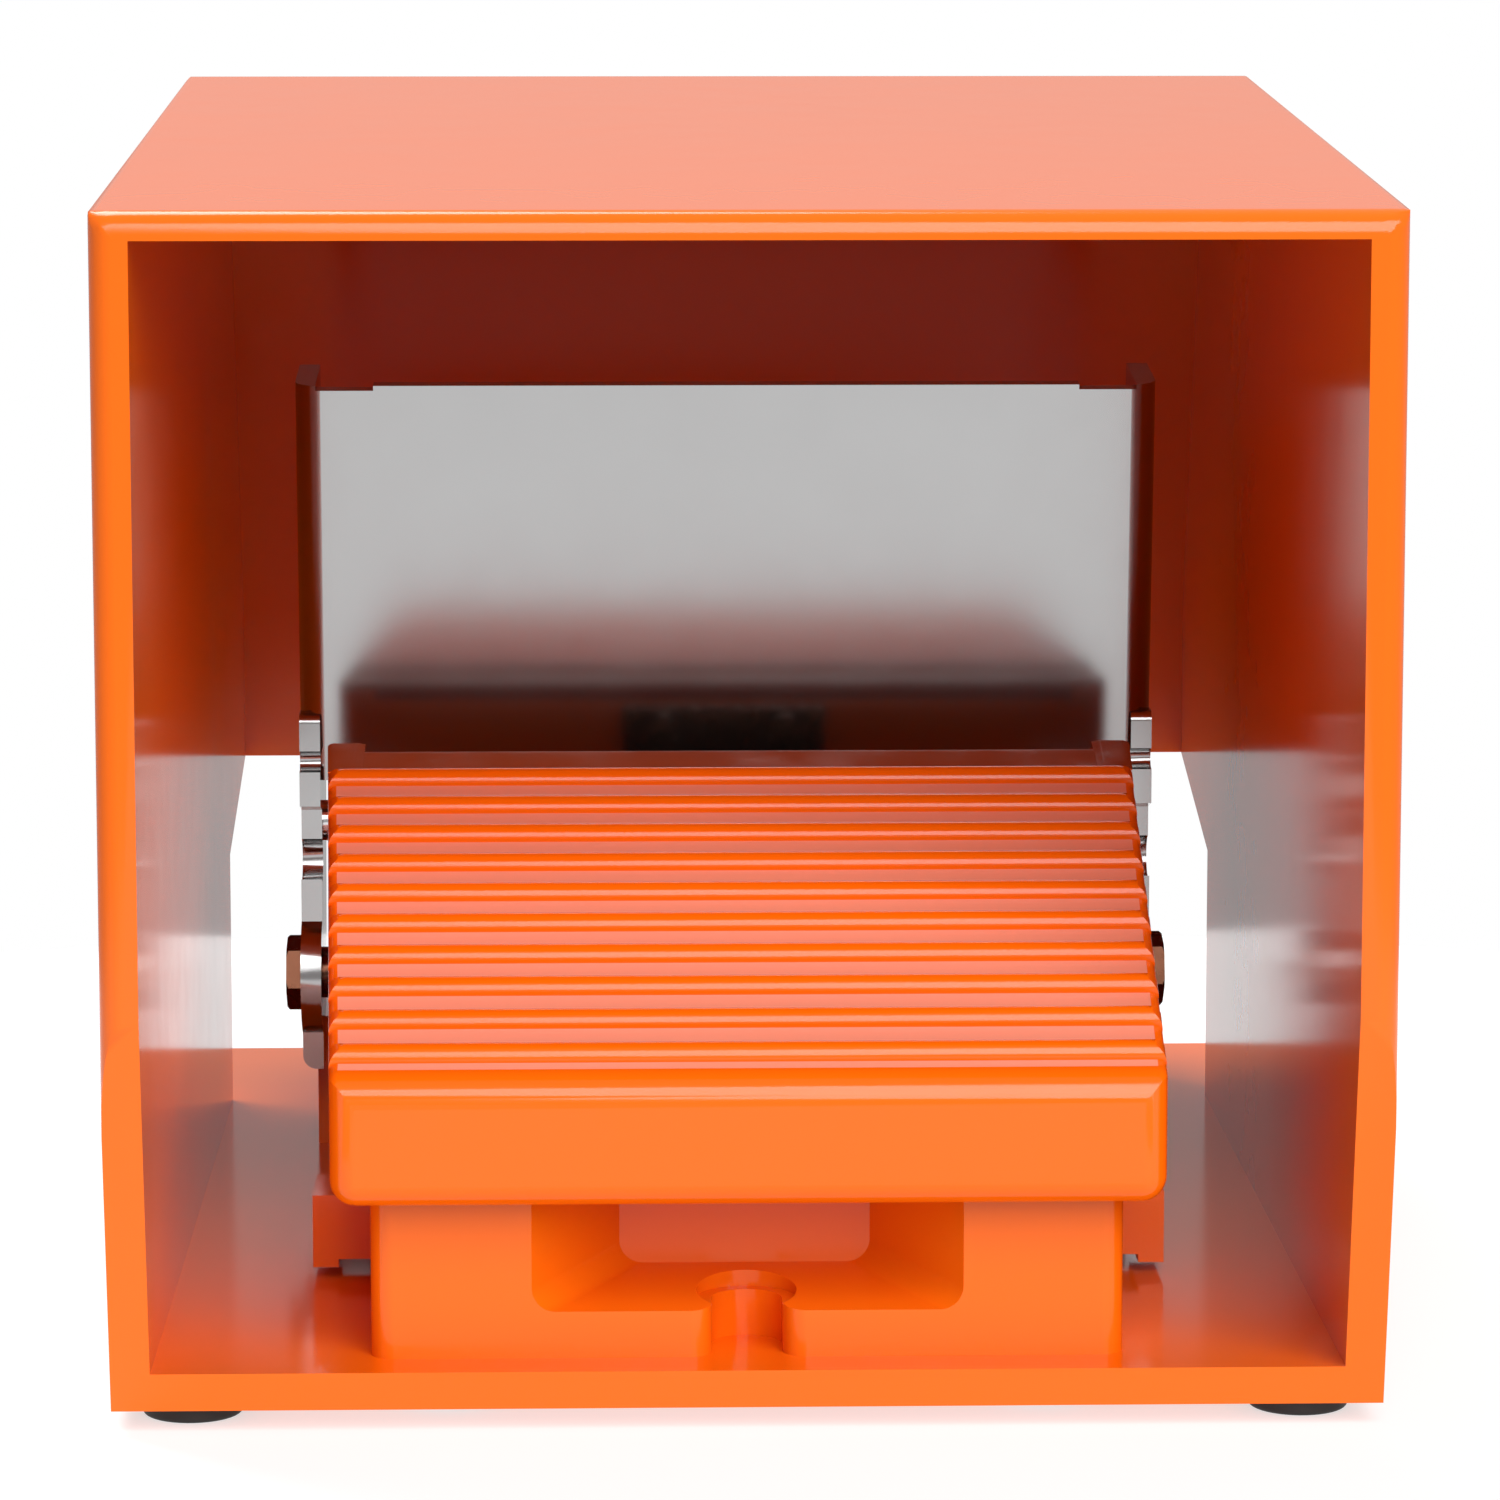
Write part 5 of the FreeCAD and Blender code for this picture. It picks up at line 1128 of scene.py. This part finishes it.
    def make_tread(self) -> None:
        """Make the ribbed tread, with a pinkish painted reflection in the valleys between the ribs and
        painted shade, dark and rough, on the bare rear strip.
        """
        book = self.finishes
        tread = self.bench.smooth_copy(
            "pedal", "pedal_tread", Body.PEDAL, book.pedal_enamel, reshape=self.trim_nose
        )
        tread.data.materials.append(book.pedal_valleys_painted_reflection)
        tread.data.materials.append(book.pedal_rear_painted_shade)
        valley, rear = 1, 2
        flat, upward = 0.999, 0.3
        up = Vector((0.0, -math.sin(self.slope), math.cos(self.slope)))
        for face in tread.data.polygons:
            facing = face.normal.dot(up)
            # flat valley floors get the painted reflection
            if facing > flat and abs(self.above_tread(face.center)) < self.valley_depth:
                face.material_index = valley
            # the upward faces of the bare rear strip get painted shade
            if facing > upward and face.center.y > self.bare_from:
                face.material_index = rear

    def wind_springs(self) -> None:
        """Wind both return springs, with closed ends, and give them a mesh of their own."""
        low, high = (Vector(corner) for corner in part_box("pedal_return_springs"))
        coil_radius = (high.y - low.y) / 2 - self.spring_wire
        apart = high.x - low.x - 2 * (coil_radius + self.spring_wire)
        tree = NodeTree("return_coils")
        rise = tree.size("Coil Rise", high.z - low.z - 2 * self.spring_wire)
        path = tree.helix(coil_radius, self.spring_turns, rise, self.spring_steps)
        place = tree.position()
        ease = tree.add("ShaderNodeMapRange", Value=place["Z"], From_Max=rise, To_Max=rise)
        ease.interpolation_type = "SMOOTHSTEP"
        wound = tree.add(
            "GeometryNodeSetPosition",
            Geometry=path,
            Position=tree.vector(place["X"], place["Y"], ease.outputs["Result"]),
        )
        coil = tree.wire(wound.outputs["Geometry"], self.spring_wire, self.spring_sides)
        start = Vector(((low.x + high.x - apart) / 2, (low.y + high.y) / 2, low.z + self.spring_wire))
        pair = tree.add(
            "GeometryNodeMeshLine", Count=2, Start_Location=start, Offset=Vector((apart, 0.0, 0.0))
        )
        copies = tree.add("GeometryNodeInstanceOnPoints", Points=pair.outputs["Mesh"], Instance=coil)
        steel = self.finishes.spring_wire
        mesh = tree.mesh(copies.outputs["Instances"], steel)
        piece = self.bench.stand_in(mesh, "return_coils", Body.BASE, steel, "pedal_return_springs")
        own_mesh(piece)


@dataclass
class ToeFlap:
    """The bent steel flap with its pivots, springs and catch bar."""

    bench: Bench
    finishes: FinishBook

    def build(self) -> None:
        """Dress the flap and its pivots."""
        book = self.finishes
        self.bench.smooth_copy("trigger_flap", "flap_plate", Body.TRIGGER, book.flap_steel)
        # painted reflection: the pivot bolts and bushes carry a brownish-orange colour standing for the
        # orange hood they reflect
        self.bench.smooth_copy("flap_pivot_screws", "pivot_bolts", Body.BASE, book.painted_shade_and_reflection_metal)
        self.bench.smooth_copy("flap_pivot_bushes", "pivot_bushes", Body.BASE, book.painted_shade_and_reflection_metal)
        self.bench.smooth_copy("catch_bar", "catch_rod", Body.TRIGGER, book.bright_zinc)
        self.bench.paint("flap_torsion_springs", book.spring_wire)


@dataclass
class Studio:
    """The pale floor, the soft lights and the camera."""

    low: Vector
    high: Vector
    left_of_middle: float = 18.9 * MM
    in_front: float = 693.46 * MM
    above_ground: float = 189.06 * MM
    pitch: float = math.radians(7.539)
    yaw: float = math.radians(1.547)
    lens: float = 138.01
    shift_down: float = 0.05
    farthest: float = 50.0
    sensor: float = 36.0
    floor_radius: float = 0.4
    floor_sides: int = 96
    floor_ahead: float = 0.14
    floor_colour: Colour = (0.4, 0.4, 0.4)
    floor_glow: float = 0.64
    floor_shade: float = 0.97
    floor_blot: float = 0.4
    floor_roughness: float = 0.8
    surround: float = 1.0
    sheen: float = 0.52
    fill: float = 0.11

    def build(self) -> None:
        """Set up everything round the object."""
        self.lay_floor()
        self.light()
        self.place_camera()

    def lay_floor(self) -> None:
        """Lay a round pale floor under the object."""
        work = bmesh.new()
        bmesh.ops.create_circle(work, cap_ends=True, segments=self.floor_sides, radius=self.floor_radius)
        bmesh.ops.translate(work, verts=work.verts, vec=(0.0, -self.floor_ahead, 0.0))
        mesh = bpy.data.meshes.new("studio_floor")
        work.to_mesh(mesh)
        work.free()
        wiring = Wiring("studio_floor_paint")
        shade = tuple(part * self.floor_shade for part in self.floor_colour)
        wiring.feed("Base Color", wiring.blend(wiring.noise(self.floor_blot), self.floor_colour, shade))
        wiring.fix("Roughness", self.floor_roughness)
        wiring.fix("Emission Color", WHITE)
        wiring.fix("Emission Strength", self.floor_glow)
        mesh.materials.append(wiring.material)
        floor = bpy.data.objects.new("studio_floor", mesh)
        bpy.context.scene.collection.objects.link(floor)
        floor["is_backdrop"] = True

    def light(self) -> None:
        """Make the white surround, whose diffuse light is weaker than it looks, and the soft lamps."""
        world = bpy.data.worlds.new("white_surround")
        world.use_nodes = True
        nodes = world.node_tree.nodes
        links = world.node_tree.links
        rays = nodes.new("ShaderNodeLightPath")
        background = nodes["Background"]
        background.inputs["Color"].default_value = (*WHITE, 1.0)
        changes = {"Is Camera Ray": self.surround - self.sheen, "Is Diffuse Ray": self.fill - self.sheen}
        strength = None
        for kind, change in changes.items():
            step = nodes.new("ShaderNodeMath")
            step.operation = "MULTIPLY_ADD"
            links.new(rays.outputs[kind], step.inputs[0])
            step.inputs[1].default_value = change
            step.inputs[2].default_value = self.sheen
            if strength is not None:
                links.new(strength, step.inputs[2])
            strength = step.outputs["Value"]
        links.new(strength, background.inputs["Strength"])
        bpy.context.scene.world = world
        self.lamp("front_softbox", place=Vector((0.5, -1.45, 1.1)), size=1.5, power=48.0)
        self.lamp("rear_softbox", place=Vector((-0.6, 0.8, 1.6)), size=1.2, power=38.0)

    def lamp(self, name: str, place: Vector, size: float, power: float) -> None:
        """Add one square lamp that points at the object.

        Args:
            name: the lamp's name.
            place: where it hangs, in metres.
            size: the length of its sides, in metres.
            power: its power in watts.
        """
        data = bpy.data.lights.new(name, "AREA")
        data.size = size
        data.energy = power
        lamp = bpy.data.objects.new(name, data)
        lamp.location = place
        aim = (self.low + self.high) / 2 - place
        lamp.rotation_euler = aim.to_track_quat("-Z", "Y").to_euler()
        bpy.context.scene.collection.objects.link(lamp)

    def place_camera(self) -> None:
        """Put the camera where the photograph was taken from."""
        data = bpy.data.cameras.new("photo_camera")
        data.sensor_width = self.sensor
        data.lens = self.lens
        data.shift_y = -self.shift_down
        data.clip_end = self.farthest
        camera = bpy.data.objects.new("photo_camera", data)
        camera.location = (-self.left_of_middle, self.low.y - self.in_front, self.above_ground)
        camera.rotation_euler = (math.pi / 2 - self.pitch, 0.0, -self.yaw)
        bpy.context.scene.collection.objects.link(camera)
        bpy.context.scene.camera = camera
        bpy.context.scene.view_settings.view_transform = "Standard"


def main() -> None:
    """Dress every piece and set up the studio."""
    logging.basicConfig(level=logging.INFO, format="%(name)s: %(message)s")
    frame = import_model()
    low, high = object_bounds()
    bench = Bench(frame)
    finishes = FinishBook()
    for part in (Hood, BaseHousing, Pedal, ToeFlap):
        part(bench, finishes).build()
    Studio(low, high).build()


if __name__ == "__main__":
    main()
